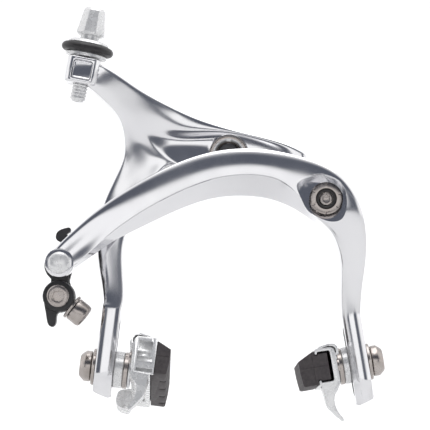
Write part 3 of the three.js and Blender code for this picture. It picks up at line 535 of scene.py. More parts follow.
def buildFrontArm():
    front = frontOf("lever_rivet") + 1.2
    side, tip, leg = sidePivot, leverPivot, legs["right"]
    top = -leg["above"] - legMetal["flat"]
    end = legEnd(leg)
    tipBack = front + 7
    stations = [
        frontStation(tip.x - 2.6, tip.z - 2, 3.4, 3.4, 3.4, front + 0.5, tipBack - 0.4, face=tipFace, lipDepth=0.8),
        frontStation(tip.x + 2.4, tip.z + 2.4, 4.3, 3.9, 4.4, front + 0.1, tipBack, face=tipFace, edge=1),
        frontStation(-44.4, -27.5, 4.2, 4, 5.1, front, tipBack, face=tipFace, edge=0.9),
        frontStation(-38.4, -21.8, 4.2, 4, 6.2, front, tipBack + 0.4,
                     face=[(0.09, 0.3), (0.32, 0.15), (0.6, 0.1), (0.88, 0)], edge=0.9),
        frontStation(-29.4, -15.4, 4.2, 4.2, 7.9, front, front + 11,
                     face=[(0.09, 0.5), (0.3, 0.15), (0.56, 0), (0.86, 0)], edge=1.1),
        frontStation(-21.8, -11, 4.2, 4.2, 8.4, front, front + 11,
                     face=[(0.09, 0.8), (0.3, 0.3), (0.56, 0), (0.86, 0)], edge=1.3),
        frontStation(-13.9, -7.3, 4.3, 4.2, 8.8, front, front + 11),
        frontStation(-6.6, -4.7, 4.2, 4.1, 9.3, front, front + 11),
        frontStation(0.3, -3.4, 4.2, 4.1, 9.8, front, front + 11),
        frontStation(7.4, -3.1, 4.1, 4.1, 10.2, front, front + 11),
        frontStation(14.1, -4, 4.2, 4.1, 10.2, front, front + 11),
        frontStation(side.x - 9.6, side.z + 8.1, 5.2, 4.3, 9.8, front, front + 11),
        frontStation(side.x - 4.2, side.z + 4.6, 7.2, 5.6, 8.8, front, front + 11.5, face=shoulderFace),
        frontStation(side.x + 0.8, side.z + 0.2, 7.7, 6.9, 7.9, front, front + 15, face=shoulderFace, lipDepth=0.6),
        frontStation(side.x + 5.2, side.z - 4.9, 6.3, 6, 6.6, front + 0.8, front + 19, face=shoulderFace,
                     lipDepth=1.1),
        frontStation(side.x + 7.5, side.z - 10.4, 5, 4.6, 5.1, front + 3.2, front + 22.6, lipDepth=1.4,
                     face=legFace),
        frontStation(side.x + 8.7, side.z - 18.4, 3.7, 3.5, 3.6, front + 6.4, front + 24.6, lipDepth=1.4,
                     face=legFace),
        frontStation(37.2, side.z - 27, 3.1, 3, 3, front + 8.2, front + 25, lipDepth=1.4, face=legFace),
        *[legStation(leg, distance) for distance in (top, top + 1, -4, 3, 4.8)],
        legStation(leg, 6.2, front=leg["bolt"].y - legMetal["half"] + 0.17),
        legStation(leg, 6.8, front=leg["bolt"].y - legMetal["half"] + 0.9),
        legStation(leg, end - 1, front=leg["bolt"].y - legMetal["half"] + 1.6),
        legStation(leg, end, front=leg["bolt"].y - legMetal["half"] + 2),
    ]
    piece, rings = forgedStrip("front_arm_forging", stations)
    creaseLines(piece, [[ring[9] for ring in rings[:14]]], 0.9)
    creaseLines(piece, [[ring[0] for ring in rings[1:13]]], 0.3)
    creaseLines(piece, [[ring[k] for ring in rings[14:]] for k in (0, 3, 6, 9)], 0.35)
    creaseLines(piece, [rings[-1]], 0.7)
    useModifier(piece, "SUBSURF", levels=3, render_levels=3)
    eye = turnedPiece("tip_eye", [(0, 0), (3.7, 0), (4.25, 0.25), (4.4, 0.8), (4.4, 6.6), (4, 7), (0, 7)],
                      (tip.x, front, tip.z), backward)
    hubBack = backOf("side_bushing") - front
    hub = turnedPiece("hub_boss", [(0, 2), (6.2, 2), (6.2, hubBack - 0.5), (5.7, hubBack), (0, hubBack)],
                      (side.x, front, side.z), backward)
    weld(piece, eye, hub)
    leaf = smoothOutline([(side.x - 8.8, side.z + 4.5), (side.x - 4.3, side.z + 7), (side.x - 0.4, side.z + 7.3),
                          (side.x + 4.4, side.z + 4.9), (side.x + 6.2, side.z - 0.6), (side.x + 4.9, side.z - 5.9),
                          (side.x + 0.6, side.z - 6.8), (side.x - 4.9, side.z - 4), (side.x - 7.8, side.z + 0.4)])
    bushLow, bushHigh = nodeBox("side_bushing")
    bore = (bushHigh.x - bushLow.x) / 2 + 0.05
    carve(piece,
          leafCutter(leaf, front - 4, bushLow.y - 0.1),
          roundBar("bore_cutter", bore, (side.x, front - 2, side.z), (side.x, front + hubBack + 4, side.z)),
          roundBar("rivet_cutter", 2.1, (tip.x, front - 3, tip.z), (tip.x, front + 12, tip.z)),
          slotCutter(leg), endCutter(leg))
    breakEdges(piece, 0.28, 2, 42)
    smoothShade(piece, 38)
    return finishPiece(piece, alloyFinish, "front_arm_body", "alloy", "front_arm")


def leafCutter(leaf, front, floor):
    # the pocket's floor leans, so that it is deepest at the top
    lean = 0.22
    piece = outlinePiece("leaf_cutter", leaf, front, floor)
    mesh = editPiece(piece, "FACE")
    lowest = min(z for x, z in leaf)
    for vertex in mesh.verts:
        if vertex.co.y > (floor - 0.1) * mm:
            vertex.co.y += (vertex.co.z - lowest * mm) * lean
    bmesh.update_edit_mesh(piece.data)
    return closePiece(piece)


rearWeb = {"sink": 2.7, "border": 1.9}


def crossStation(x, z, up, down, face, **more):
    station = {"x": x, "z": z, "up": up, "lip": down, "down": down, "front": rearFront(), "back": rearBack(),
               "soft": 1.3, "edge": 0.5, "lipDepth": 0.8, "face": face}
    station.update(more)
    return station


def rearFront():
    return backOf("centre_bushing") - 13


def rearBack():
    return backOf("centre_bushing")


def plainFace(tilt=0.15):
    return [(0.04, 0.05), (0.16, 0), (0.62, 0), (0.9, tilt)]


def sunkFace(band, up, down, sink, foot=0.5):
    # a band of full height under the top edge, then a hollow that comes forward again towards the lip
    whole = up + down
    return [(0.04, 0.05), (band / whole, 0), ((band + rearWeb["border"]) / whole, sink), (0.92, foot)]


def buildRearArm():
    front, back, seat, leg = rearFront(), rearBack(), adjusterSeat, legs["left"]
    sunk = rearWeb["sink"]
    cross = [
        crossStation(seat.x - 0.8, seat.z - 6.6, 3.7, 3.4, plainFace(), front=seat.y - 5.2, back=seat.y + 5.2),
        crossStation(-39.4, 22.3, 4.2, 3.8, plainFace(), front=-32.6, back=-21.6),
        crossStation(-34.6, 18.7, 4.7, 4.3, plainFace(), front=-30.4, back=-18.6),
        crossStation(-29.8, 14.8, 5.2, 4.8, plainFace(0), front=-28, back=-15, lipDepth=0.2),
        crossStation(-23.8, 10.6, 6.1, 6, [(0.04, 0.05), (0.3, 0), (0.8, 0.1), (0.95, 0.6)], front=-25.6,
                     back=-11.6, lipDepth=1),
        crossStation(-16.6, 6.5, 6.7, 8, sunkFace(6.6, 6.7, 8, sunk, 1.4), lipDepth=1.3),
        crossStation(-8.8, 3, 7.3, 8.8, sunkFace(3.2, 7.3, 8.8, sunk), lipDepth=0.3),
        crossStation(0, 0.7, 7.3, 9.2, sunkFace(0.9, 7.3, 9.2, 1.2), lipDepth=0.3),
        crossStation(8, -1.1, 7.2, 7.8, sunkFace(1.2, 7.2, 7.8, 1.2)),
        crossStation(15, -2.5, 6.7, 5.6, sunkFace(1.4, 6.7, 5.6, 1.2)),
        crossStation(21, -3.4, 5.2, 4.1, plainFace()),
        crossStation(24.4, -3.4, 3, 2, plainFace()),
    ]
    piece, rings = forgedStrip("rear_arm_forging", cross)
    root = (3, 4, 5, 6)  # the leg grows out of the underside between these stations
    grid = [rings[i][k] for i in root for k in (6, 7, 8, 9)]
    legRoute = [
        {"x": -26.4, "z": 0.4, "up": 5.2, "down": 8, "relief": (-2.2, -0.6, 1.3, 0.5)},
        {"x": -28.2, "z": -5.4, "up": 5, "down": 6.4, "relief": (-1.2, -0.4, 0.5, -0.4)},
        {"x": -32, "z": -12.2, "up": 5, "down": 5.2, "relief": (-0.4, -0.3, 0, -0.3)},
        {"x": -35.1, "z": -19.6, "up": 4.6, "down": 4.6, "front": front - 0.6},
        {"x": -36.7, "z": -28.4, "up": 3.9, "down": 3.8, "front": front - 1.4},
        {"x": -35.9, "z": -37, "up": 3.4, "down": 3.4, "front": front - 2.2, "back": -11.4,
         "relief": (0.9, 0.2, 0, 0)},
        {"x": -34.9, "z": -44.6, "up": 3, "down": 3, "front": front - 2.9, "back": -12},
    ]
    end = legEnd(leg)
    halfDepth = legMetal["half"]
    top = -leg["above"] - legMetal["flat"]
    for distance, setBack in ((top, 0.3), (top + 1, 0.28), (-6, 0), (1.2, 0), (2.6, 0.17), (3.2, 0.9),
                              (end - 1, 1.6), (end, 2)):
        place = leg["bolt"] + leg["down"] * distance
        legRoute.append({"x": place.x, "z": place.z, "up": legMetal["gauge"] / 2, "down": legMetal["gauge"] / 2,
                         "front": place.y - halfDepth + setBack, "back": place.y + halfDepth})
    mesh = editPiece(piece, "FACE")
    pickFaces(mesh, piece, grid)
    sides = []
    previous = {"x": -25, "z": 5}
    for i, station in enumerate(legRoute):
        ahead = legRoute[min(i + 1, len(legRoute) - 1)]
        along = Vector((ahead["x"] - previous["x"], 0, ahead["z"] - previous["z"])).normalized()
        outer = Vector((along.z, 0, -along.x))
        near, far = station.get("front", front), station.get("back", back)
        soft, crown = 1.2, 0.75
        spans = ((station["up"], crown), (station["up"] * 0.45, 0), (-station["down"] * 0.45, 0),
                 (-station["down"], crown))
        middle = Vector((station["x"], 0, station["z"]))
        after = []
        for (across, inset), lift in zip(spans, station.get("relief", (0, 0, 0, 0))):
            face = near + inset + lift
            for depth in (far - inset, far - soft - inset, face + soft, face):
                after.append(middle + outer * across + Vector((0, depth, 0)))
        extrudeTo(piece, grid, after)
        grid = after
        sides.append(after)
        previous = station
    closePiece(piece)
    pointOut(piece)
    creaseLines(piece, [[ring[0] for ring in rings[1:10]]], 0.7)
    creaseLines(piece, [[rings[4][9]] + [side[7] for side in sides[:3]]], 0.4)
    creaseLines(piece, [[side[k] for side in sides[2:]] for k in (0, 3, 12, 15)], 0.35)
    creaseLines(piece, [sides[-1]], 0.7)
    useModifier(piece, "SUBSURF", levels=3, render_levels=3)
    weld(piece, adjusterBoss())
    bushLow, bushHigh = nodeBox("centre_bushing")
    bore = (bushHigh.x - bushLow.x) / 2 + 0.05
    screwLow, screwHigh = nodeBox("centring_screw")
    screwX, screwY = (screwLow.x + screwHigh.x) / 2, (screwLow.y + screwHigh.y) / 2
    pinLow, pinHigh = nodeBox("cam_pin")
    relieved = [(pinLow.x - 4, pinLow.z - 4), (pinHigh.x + 5, pinLow.z - 4),
                (pinHigh.x + 5, pinHigh.z + 0.2), (pinLow.x - 4, pinHigh.z + 0.2)]
    carve(piece,
          roundBar("bore_cutter", bore, (0, front - 4, 0), (0, back + 4, 0)),
          roundBar("nut_cutter", 6.1, (0, front - 4, 0), (0, bushLow.y, 0), 64),
          roundBar("screw_cutter", 2.1, (screwX, screwY, screwLow.z - 2), (screwX, screwY, 12)),
          outlinePiece("cam_cutter", relieved, front - 4, back + 4),
          roundBar("stud_cutter", 2.45, seat - adjusterAxis * 20, seat + adjusterAxis * 5),
          bossWindow(),
          slotCutter(leg), endCutter(leg))
    breakEdges(piece, 0.25, 2, 42)
    smoothShade(piece, 38)
    return finishPiece(piece, alloyFinish, "rear_arm_body", "alloy", "rear_arm")


bossBlock = {"top": 2.85, "length": 8.2, "halfWidth": 4.9, "halfDepth": 6.2, "corner": 2.2}
bossPocket = {"half": 3.1, "height": 5.8, "depth": 1.2, "corner": 0.9, "lean": 0.17}


def adjusterBoss():
    # the block that the adjuster's stud slides through
    block = bossBlock
    piece = boxPiece("adjuster_boss", (-block["halfWidth"], -block["halfDepth"], -block["length"] / 2),
                     (block["halfWidth"], block["halfDepth"], block["length"] / 2))
    mesh = editPiece(piece, "EDGE")
    for edge in mesh.edges:
        a, b = (vertex.co for vertex in edge.verts)
        edge.select = abs(a.z - b.z) > 4 * mm
    bmesh.update_edit_mesh(piece.data)
    bpy.ops.mesh.bevel(offset=block["corner"] * mm, segments=5, affect="EDGES")
    closePiece(piece)
    breakEdges(piece, 0.7, 3, 60)
    return settle(piece, adjusterSeat - adjusterAxis * (block["top"] + block["length"] / 2), adjusterAxis)


def bossWindow():
    pocket = bossPocket
    piece = boxPiece("window_cutter", (-pocket["half"], -pocket["depth"], -pocket["height"] / 2),
                     (pocket["half"], pocket["depth"], pocket["height"] / 2))
    mesh = editPiece(piece)
    for vertex in mesh.verts:
        if vertex.co.y > 0:
            vertex.co.y += (vertex.co.z + pocket["height"] / 2 * mm) * pocket["lean"]
    bmesh.update_edit_mesh(piece.data)
    closePiece(piece)
    breakEdges(piece, pocket["corner"], 3, 60)
    place = adjusterSeat - adjusterAxis * (bossBlock["top"] + bossBlock["length"] / 2)
    return settle(piece, place + Vector((0, -bossBlock["halfDepth"], 0)), adjusterAxis)


buildFrontArm()
print("front arm made")
buildRearArm()
print("rear arm made")


def threadProfile(radius, start, end, pitch=1.0, depth=0.32):
    # rounded thread crests, as (radius, height) points from one height to another
    count = round((end - start) / pitch)
    points = []
    for i in range(count):
        foot = start + i * pitch
        points += [(radius - depth, foot), (radius - depth * 0.25, foot + pitch * 0.22),
                   (radius, foot + pitch * 0.5), (radius - depth * 0.25, foot + pitch * 0.78)]
    return points + [(radius - depth, start + count * pitch)]


adjusterSizes = {"stud": 2.35, "below": 16.3, "foot": 2.85, "neck": 1.3, "barrel": 8.5, "topRadius": 3.45,
                 "footRadius": 4.5, "facets": 8, "cable": 0.9, "housing": 2.4, "flange": 6.2, "flangeThick": 1.2,
                 "ringReach": 6.6, "ringSection": 1.35}


def buildAdjuster():
    size = adjusterSizes
    seat, axis = adjusterSeat, adjusterAxis
    barrelFoot = size["foot"] + size["neck"]
    barrelTop = barrelFoot + size["barrel"]
    thread = threadProfile(size["stud"], 0.6 - size["below"], -3.2)
    stem = turnedPiece("adjuster_barrel_and_stud",
                       [(0, -size["below"]), (size["stud"] - 0.7, -size["below"])] + thread
                       + [(size["stud"] - 0.1, -2.6), (size["stud"] - 0.1, size["foot"]),
                          (size["stud"] + 0.5, size["foot"] + 0.1), (size["stud"] + 0.5, barrelFoot + 0.6),
                          (0, barrelFoot + 0.6)])
    # the barrel tapers up from a chamfered foot and is flatted all round
    clearSelection()
    bpy.ops.mesh.primitive_circle_add(vertices=size["facets"], radius=(size["footRadius"] - 0.7) * mm,
                                      fill_type="NGON", location=(0, 0, barrelFoot * mm))
    barrel = bpy.context.object
    editPiece(barrel)
    bpy.ops.mesh.select_all(action="SELECT")
    slopes = [(0.55, size["footRadius"] / (size["footRadius"] - 0.7)), (0.5, 1),
              (size["barrel"] - 1.75, size["topRadius"] / size["footRadius"]),
              (0.7, (size["topRadius"] - 0.5) / size["topRadius"])]
    for rise, taper in slopes:
        bpy.ops.mesh.extrude_region_move(TRANSFORM_OT_translate={"value": (0, 0, rise * mm)})
        bpy.ops.transform.resize(value=(taper, taper, 1))
    closePiece(barrel)
    makeActive(barrel)
    bpy.ops.object.transform_apply(location=True, rotation=True, scale=True)
    settle(barrel, spin=math.pi / size["facets"])
    pointOut(barrel)
    breakEdges(barrel, 0.16, 2, 25)
    weld(stem, barrel)
    carve(stem, roundBar("cable_bore", size["cable"], (0, 0, -size["below"] - 1), (0, 0, barrelTop + 1), 24),
          roundBar("housing_bore", size["housing"], (0, 0, barrelTop - 6), (0, 0, barrelTop + 1), 32))
    settle(stem, seat, axis)
    smoothShade(stem, 32)
    finishPiece(stem, machinedFinish, "cable_stop", "alloy", "adjuster_stud")

    half = size["ringSection"] + size["flangeThick"]
    waist = size["ringReach"] - size["ringSection"] - 0.1
    groove = size["ringSection"] + 0.1
    bore = size["stud"] + 0.1
    rim = size["flange"]
    nut = turnedPiece("adjuster_flanged_nut",
                      [(bore, -half), (rim - 0.25, -half), (rim, 0.25 - half), (rim, -groove - 0.2),
                       (rim - 0.2, -groove), (waist, -groove), (waist, groove), (rim - 0.2, groove),
                       (rim, groove + 0.2), (rim - 0.5, half - 0.2), (rim - 0.8, half), (bore + 1.2, half),
                       (bore + 0.4, half - 0.25), (bore, half - 0.25)], seat, axis, 64)
    smoothShade(nut, 30)
    finishPiece(nut, machinedFinish, "adjuster_wheel", "alloy", "adjuster_nut")

    section = arcPoints(size["ringReach"], 0, size["ringSection"], 0, 345, 23)
    section[0] = (section[0][0] + 0.05, 0)  # the mould's parting line
    ring = turnedPiece("adjuster_rubber_ring", section, seat, axis, 80)
    smoothShade(ring, 60)
    finishPiece(ring, ringFinish, "adjuster_wheel", "black_rubber", "adjuster_o_ring")


def buildPivotHardware():
    side, front = sidePivot, frontOf("side_pivot_bolt")
    headBack = frontOf("side_bushing") - 0.2
    headRadius = (nodeBox("side_pivot_bolt")[1].x - nodeBox("side_pivot_bolt")[0].x) / 2
    far = backOf("side_pivot_bolt") - front
    head = headBack - front
    bolt = turnedPiece("side_pivot_disc_bolt",
                       [(0, 0), (headRadius - 0.9, 0), (headRadius - 0.35, 0.15), (headRadius, 0.6),
                        (headRadius, head), (4, head), (4, far - 0.5), (3.6, far), (0, far)],
                       (side.x, front, side.z), backward, 64)
    recess = turnedPiece("disc_recess", [(0, -1), (3.25, -1), (3.2, 0), (2.9, 1.5), (2.1, 1.5), (2.1, 5), (0, 5)],
                         (side.x, front, side.z), backward)
    carve(bolt, recess)
    ticks = []
    for angle in (205, 268, 325, 20, 90, 150):  # spanner notches in the disc
        turn = math.radians(angle)
        way = Vector((math.cos(turn), 0, math.sin(turn)))
        start, end = side + way * 3.75, side + way * 4.75
        ticks.append(roundBar("notch", 0.3, (start.x, front, start.z), (end.x, front, end.z), 8))
    carve(bolt, *ticks)
    breakEdges(bolt, 0.08, 1, 40)
    smoothShade(bolt, 30)
    finishPiece(bolt, steelFinish, "core", "steel", "side_pivot_bolt")

    # a black ring that fills the disc's recess: painted shade, a dark piece standing where the recess lies in shadow
    recessShadeRing = turnedPiece("pivot_recess_shade_ring", [(2.15, 1.4), (2.15, 0.5), (2.4, 0.3), (2.85, 0.3), (3.1, 0.5), (3.1, 1.2),
                                      (2.9, 1.4)], (side.x, front, side.z), backward)
    smoothShade(recessShadeRing, 35)
    finishPiece(recessShadeRing, ringFinish, "core", "black_rubber")

    screwLow, screwHigh = nodeBox("side_lock_screw")
    length = screwHigh.y - screwLow.y
    screw = turnedPiece("side_pivot_lock_screw",
                        [(0, 0), (1.5, 0), (1.85, 0.12), (2, 0.4), (2, length - 0.3), (1.7, length), (0, length)],
                        (side.x, screwLow.y, side.z), backward, 32)
    carve(screw, roundBar("hex_cutter", 1.3, (side.x, screwLow.y - 1, side.z), (side.x, screwLow.y + 1.9, side.z), 6))
    breakEdges(screw, 0.08, 2, 40)
    smoothShade(screw, 30)
    finishPiece(screw, steelFinish, "core", "steel", "side_lock_screw")

    nutFront, nutBack = frontOf("centre_nut"), backOf("centre_nut")
    tall = nutBack - nutFront
    nut = turnedPiece("centre_ring_nut",
                      [(4.08, tall), (4.08, 0.9), (4.3, 0.25), (4.5, 0), (4.75, 0.02), (4.97, 0.3), (4.97, tall)],
                      (0, nutFront, 0), backward, 64)
    carve(nut, boxPiece("nut_slot", (-0.7, nutFront - 1, -7), (0.7, nutFront + 0.8, 7)))
    smoothShade(nut, 30)
    finishPiece(nut, machinedFinish, "core", "steel", "centre_nut")

    capFront, capBack = frontOf("centre_cap"), backOf("centre_cap")
    deep = capBack - capFront
    cap = turnedPiece("centre_dust_cap",
                      [(0, 0.1), (0.6, 0.02), (0.95, 0.1), (1.15, 0.38), (2.2, 0.42), (3, 0.36), (3.35, 0.45),
                       (3.58, 0.7), (3.58, deep), (0, deep)], (0, capFront, 0), backward, 48)
    smoothShade(cap, 40)
    finishPiece(cap, capFinish, "core", "steel", "centre_cap")

    low, high = nodeBox("centre_bushing")
    for node, name, body, place in (("centre_bushing", "centre_bearing_sleeve", "rear_arm_body", (0, low.y, 0)),
                                    ("side_bushing", "side_bearing_sleeve", "front_arm_body",
                                     (side.x, frontOf("side_bushing"), side.z))):
        tall = backOf(node) - frontOf(node)
        sleeve = turnedPiece(name, [(4.08, 0.3), (4.3, 0), (4.75, 0), (4.97, 0.3), (4.97, tall - 0.3),
                                    (4.75, tall), (4.3, tall), (4.08, tall - 0.3)], place, backward, 48)
        smoothShade(sleeve, 35)
        finishPiece(sleeve, steelFinish, body, "steel", node)

    pinLow, pinHigh = nodeBox("cam_pin")
    x, z = (pinLow.x + pinHigh.x) / 2, (pinLow.z + pinHigh.z) / 2
    tall = pinHigh.y - pinLow.y
    pin = turnedPiece("cam_roller", [(0, 0), (1.7, 0), (1.7, 4.6), (2.3, 4.6), (2.6, 4.9), (2.6, tall - 0.5),
                                     (2.1, tall), (0, tall)], (x, pinLow.y, z), backward, 40)
    smoothShade(pin, 35)
    finishPiece(pin, steelFinish, "front_arm_body", "steel", "cam_pin")

    low, high = nodeBox("centring_screw")
    x, y, tall = (low.x + high.x) / 2, (low.y + high.y) / 2, high.z - low.z
    thread = threadProfile(2, 0.8, tall - 2.2, 0.8, 0.22)
    screw = turnedPiece("centring_grub_screw", [(0, 0), (1.2, 0), (1.6, 0.5)] + thread
                        + [(1.95, tall - 1.2), (1.95, tall - 0.3), (1.65, tall), (0, tall)],
                        (x, y, low.z), (0, 0, 1), 32)
    carve(screw, roundBar("hex_cutter", 1.15, (x, y, high.z - 2), (x, y, high.z + 1), 6))
    smoothShade(screw, 30)
    finishPiece(screw, steelFinish, "rear_arm_body", "steel", "centring_screw")


buildAdjuster()
print("adjuster made")
buildPivotHardware()
print("pivot hardware made")


leverSizes = {"thick": 3.6, "anchorDrop": 10, "anchorShift": -0.3, "anchorRadius": 4.8, "headRadius": 3.3,
              "headHeight": 3, "pinchAngle": 39, "pinchHead": 3.65, "pinchLength": 4.6, "pinchShank": 2}


def leverPlace(x, z):
    return leverPivot.x + x, leverPivot.z + z


def pinchWay():
    turn = math.radians(leverSizes["pinchAngle"])
    return Vector((math.cos(turn), 0, -math.sin(turn)))


def buildLever():
    size = leverSizes
    low, high = nodeBox("quick_release_lever")
    back = high.y
    plateFront = back - size["thick"]
    knobFront = low.y
    ax, az = leverPlace(size["anchorShift"], -size["anchorDrop"])
    # the plate behind the arm, with a thumb tab above and the link to the anchor below
    spine = smoothOutline([leverPlace(*point) for point in (
        (2.7, 11), (0.9, 10.7), (-0.9, 9.8), (-1.5, 8.2), (-1, 7.1), (0.2, 6.4), (0.8, 5), (-0.4, 4), (-2.9, 3.2),
        (-4.6, 1.2), (-4.9, -1), (-4.1, -3.2), (-2.8, -4.8), (-2.6, -6.8), (2.6, -6.8), (2.7, -5), (3.6, -1.6),
        (4.1, 2.2), (4, 6), (2.5, 8.2), (1.9, 9), (3, 9.9))], 4)
    piece = outlinePiece("quick_release_plate", spine, plateFront, back)
    knob = turnedPiece("anchor_boss", [(0, 0), (size["anchorRadius"] - 0.8, 0), (size["anchorRadius"] - 0.2, 0.2),
                                       (size["anchorRadius"], 0.8), (size["anchorRadius"], back - knobFront - 0.4),
                                       (size["anchorRadius"] - 0.4, back - knobFront), (0, back - knobFront)],
                       (ax, knobFront, az), backward, 64)
    tail = outlinePiece("release_tail", smoothOutline([
        (ax - 4.5, az + 1.2), (ax - 4.4, az - 1.6), (ax - 3.8, az - 5), (ax - 3.2, az - 8.2), (ax - 2, az - 9.2),
        (ax - 0.9, az - 8.2), (ax - 0.5, az - 5.4), (ax + 1.2, az - 4), (ax + 2, az + 0.6), (ax - 1, az + 2.4)], 4),
        knobFront + 0.9, plateFront + 0.5)
    neck = outlinePiece("release_neck", [(ax - 2.6, az + 2), (ax + 3, az + 2), (ax + 2.7, az + 6.4),
                                         (ax - 2.3, az + 6.4)], knobFront + 3.4, plateFront + 0.5)
    weld(piece, knob, tail, neck)
    way, anchor = pinchWay(), Vector((ax, 0, az))
    pinchY = plateFront - 0.9
    start = Vector((ax, pinchY, az))
    carve(piece,
          roundBar("rivet_bore", 2.1, (leverPivot.x, plateFront - 1, leverPivot.z), (leverPivot.x, back + 1,
                                                                                   leverPivot.z), 32),
          roundBar("anchor_bore", 2.6, (ax, knobFront - 1, az), (ax, back + 1, az), 32),
          roundBar("pinch_bore", size["pinchShank"] + 0.15, start + way * 3, start + way * 9, 32),
          roundBar("pinch_seat", size["pinchHead"] + 0.6, start + way * (size["anchorRadius"] - 0.4),
                   start + way * 20, 48))
    breakEdges(piece, 0.35, 3, 35)
    smoothShade(piece, 35)
    finishPiece(piece, blackFinish, "lever", "black_plastic", "quick_release_lever")

    headFront = frontOf("anchor_bolt")
    total = backOf("anchor_bolt") - headFront
    bolt = turnedPiece("cable_anchor_bolt",
                       [(0, 0), (2.5, 0), (3, 0.14), (3.3, 0.55), (3.3, size["headHeight"]), (2.5, size["headHeight"]),
                        (2.5, total - 0.4), (2.1, total), (0, total)], (ax, headFront, az), backward, 48)
    carve(bolt, turnedPiece("socket_lead", [(0, -1), (2.3, -1), (2.05, 0.25), (0, 0.6)], (ax, headFront, az),
                            backward, 48),
          roundBar("hex_cutter", 1.75, (ax, headFront - 1, az), (ax, headFront + 2.1, az), 6, 0.4))
    breakEdges(bolt, 0.08, 2, 35)
    smoothShade(bolt, 30)
    finishPiece(bolt, steelFinish, "lever", "steel", "anchor_bolt")

    nutLow, nutHigh = nodeBox("anchor_nut")
    nut = roundBar("cable_anchor_nut", 3.8, (ax, nutLow.y, az), (ax, nutHigh.y, az), 6)
    carve(nut, roundBar("nut_bore", 2.6, (ax, nutLow.y - 1, az), (ax, nutHigh.y + 1, az), 32))
    breakEdges(nut, 0.2, 2, 35)
    smoothShade(nut, 30)
    finishPiece(nut, steelFinish, "lever", "steel", "anchor_nut")

    washerFrom = size["anchorRadius"] - 0.2
    capFrom = washerFrom + 1
    capTo = capFrom + size["pinchLength"]
    head, shank = size["pinchHead"], size["pinchShank"]
    pinch = turnedPiece("cable_pinch_bolt",
                        [(0, 3.2), (shank, 3.2), (shank, capFrom), (head - 0.5, capFrom), (head, capFrom + 0.2),
                         (head, capTo - 1.1), (head - 0.25, capTo - 0.35), (head - 0.9, capTo), (0, capTo)],
                        start, way, 48)
    carve(pinch, roundBar("hex_cutter", 1.9, start + way * (capTo - 2.4), start + way * (capTo + 1), 6))
    breakEdges(pinch, 0.1, 2, 35)
    smoothShade(pinch, 30)
    finishPiece(pinch, steelFinish, "lever", "steel", "pinch_bolt")

    washer = turnedPiece("cable_pinch_washer",
                         [(shank + 0.15, washerFrom), (head + 0.1, washerFrom), (head + 0.3, washerFrom + 0.2),
                          (head + 0.3, washerFrom + 0.7), (head + 0.1, washerFrom + 0.9),
                          (shank + 0.15, washerFrom + 0.9)], start, way, 48)
    smoothShade(washer, 30)
    finishPiece(washer, steelFinish, "lever", "steel", "pinch_washer")

    front, total = frontOf("lever_rivet"), backOf("lever_rivet") - frontOf("lever_rivet")
    dome = [(3.3 * math.cos(turn), 1.1 - 1.1 * math.sin(turn)) for turn in
            [math.radians(90 - 10 * i) for i in range(10)]]
    rivet = turnedPiece("domed_rivet", [(0, 0)] + dome[1:] + [(2, 1.1), (2, total - 0.9), (2.8, total - 0.9),
                                                              (2.4, total - 0.15), (1.2, total), (0, total)],
                        (leverPivot.x, front, leverPivot.z), backward, 48)
    smoothShade(rivet, 40)
    finishPiece(rivet, machinedFinish, "front_arm_body", "steel", "lever_rivet")


buildLever()
print("quick release made")


shoeSizes = {"length": 52, "height": 11, "depth": 6, "backWall": 1.5, "clear": 0.3, "dishes": 2.3, "dish": 5.6,
             "spacers": {"right": 1.9, "left": 2.8}, "pitch": {"right": -2, "left": -12}, "bolt": 3, "washer": 1,
             "head": 4.7, "headHeight": 3.6, "proud": 5.3, "face": 7.7, "finDrop": 11, "finLength": 12,
             "grooveWidth": 1.4, "grooveDepth": 2.4}
legHalf = 2.8


def ontoBolt(piece, side, tipped=True):
    # from the shoe's own frame, X outwards along its bolt and Y to the rear, to its place on the leg
    leg = legs[side]
    turn = Matrix((leg["out"], (0, 1, 0), -leg["down"])).transposed().to_4x4()
    place = Matrix.Translation(leg["bolt"] * mm) @ turn
    if tipped:
        place = place @ Matrix.Rotation(math.radians(shoeSizes["pitch"][side]), 4, "X")
    makeActive(piece)
    piece.matrix_world = place
    bpy.ops.object.transform_apply(location=True, rotation=True, scale=True)
    return pointOut(piece)


def turnedAcross(name, profile, sides=64):
    return turnedPiece(name, profile, (0, 0, 0), (1, 0, 0), sides)


def buildShoeBolt(side, start):
    size = shoeSizes
    shank = size["bolt"]
    headFrom = legHalf + size["washer"] + 0.3
    headTo = headFrom + size["headHeight"]
    foot = start - 2
    head = size["head"]
    bolt = turnedAcross(side + "_pad_bolt", [
        (0, foot), (shank - 0.4, foot), (shank, foot + 0.4), (shank, headFrom), (head - 0.3, headFrom),
        (head, headFrom + 0.3), (head, headTo - 1.8), (head - 0.1, headTo - 1.55), (head - 1.15, headTo - 0.3),
        (head - 1.6, headTo), (0, headTo)])
    carve(bolt, roundBar("hex_cutter", 2.9, (headTo - 2.6, 0, 0), (headTo + 1, 0, 0), 6))
    breakEdges(bolt, 0.1, 2, 40)
    smoothShade(bolt, 30)
    finishPiece(ontoBolt(bolt, side, False), steelFinish, side + "_pad_bolt", "steel", side + "_shoe_bolt")


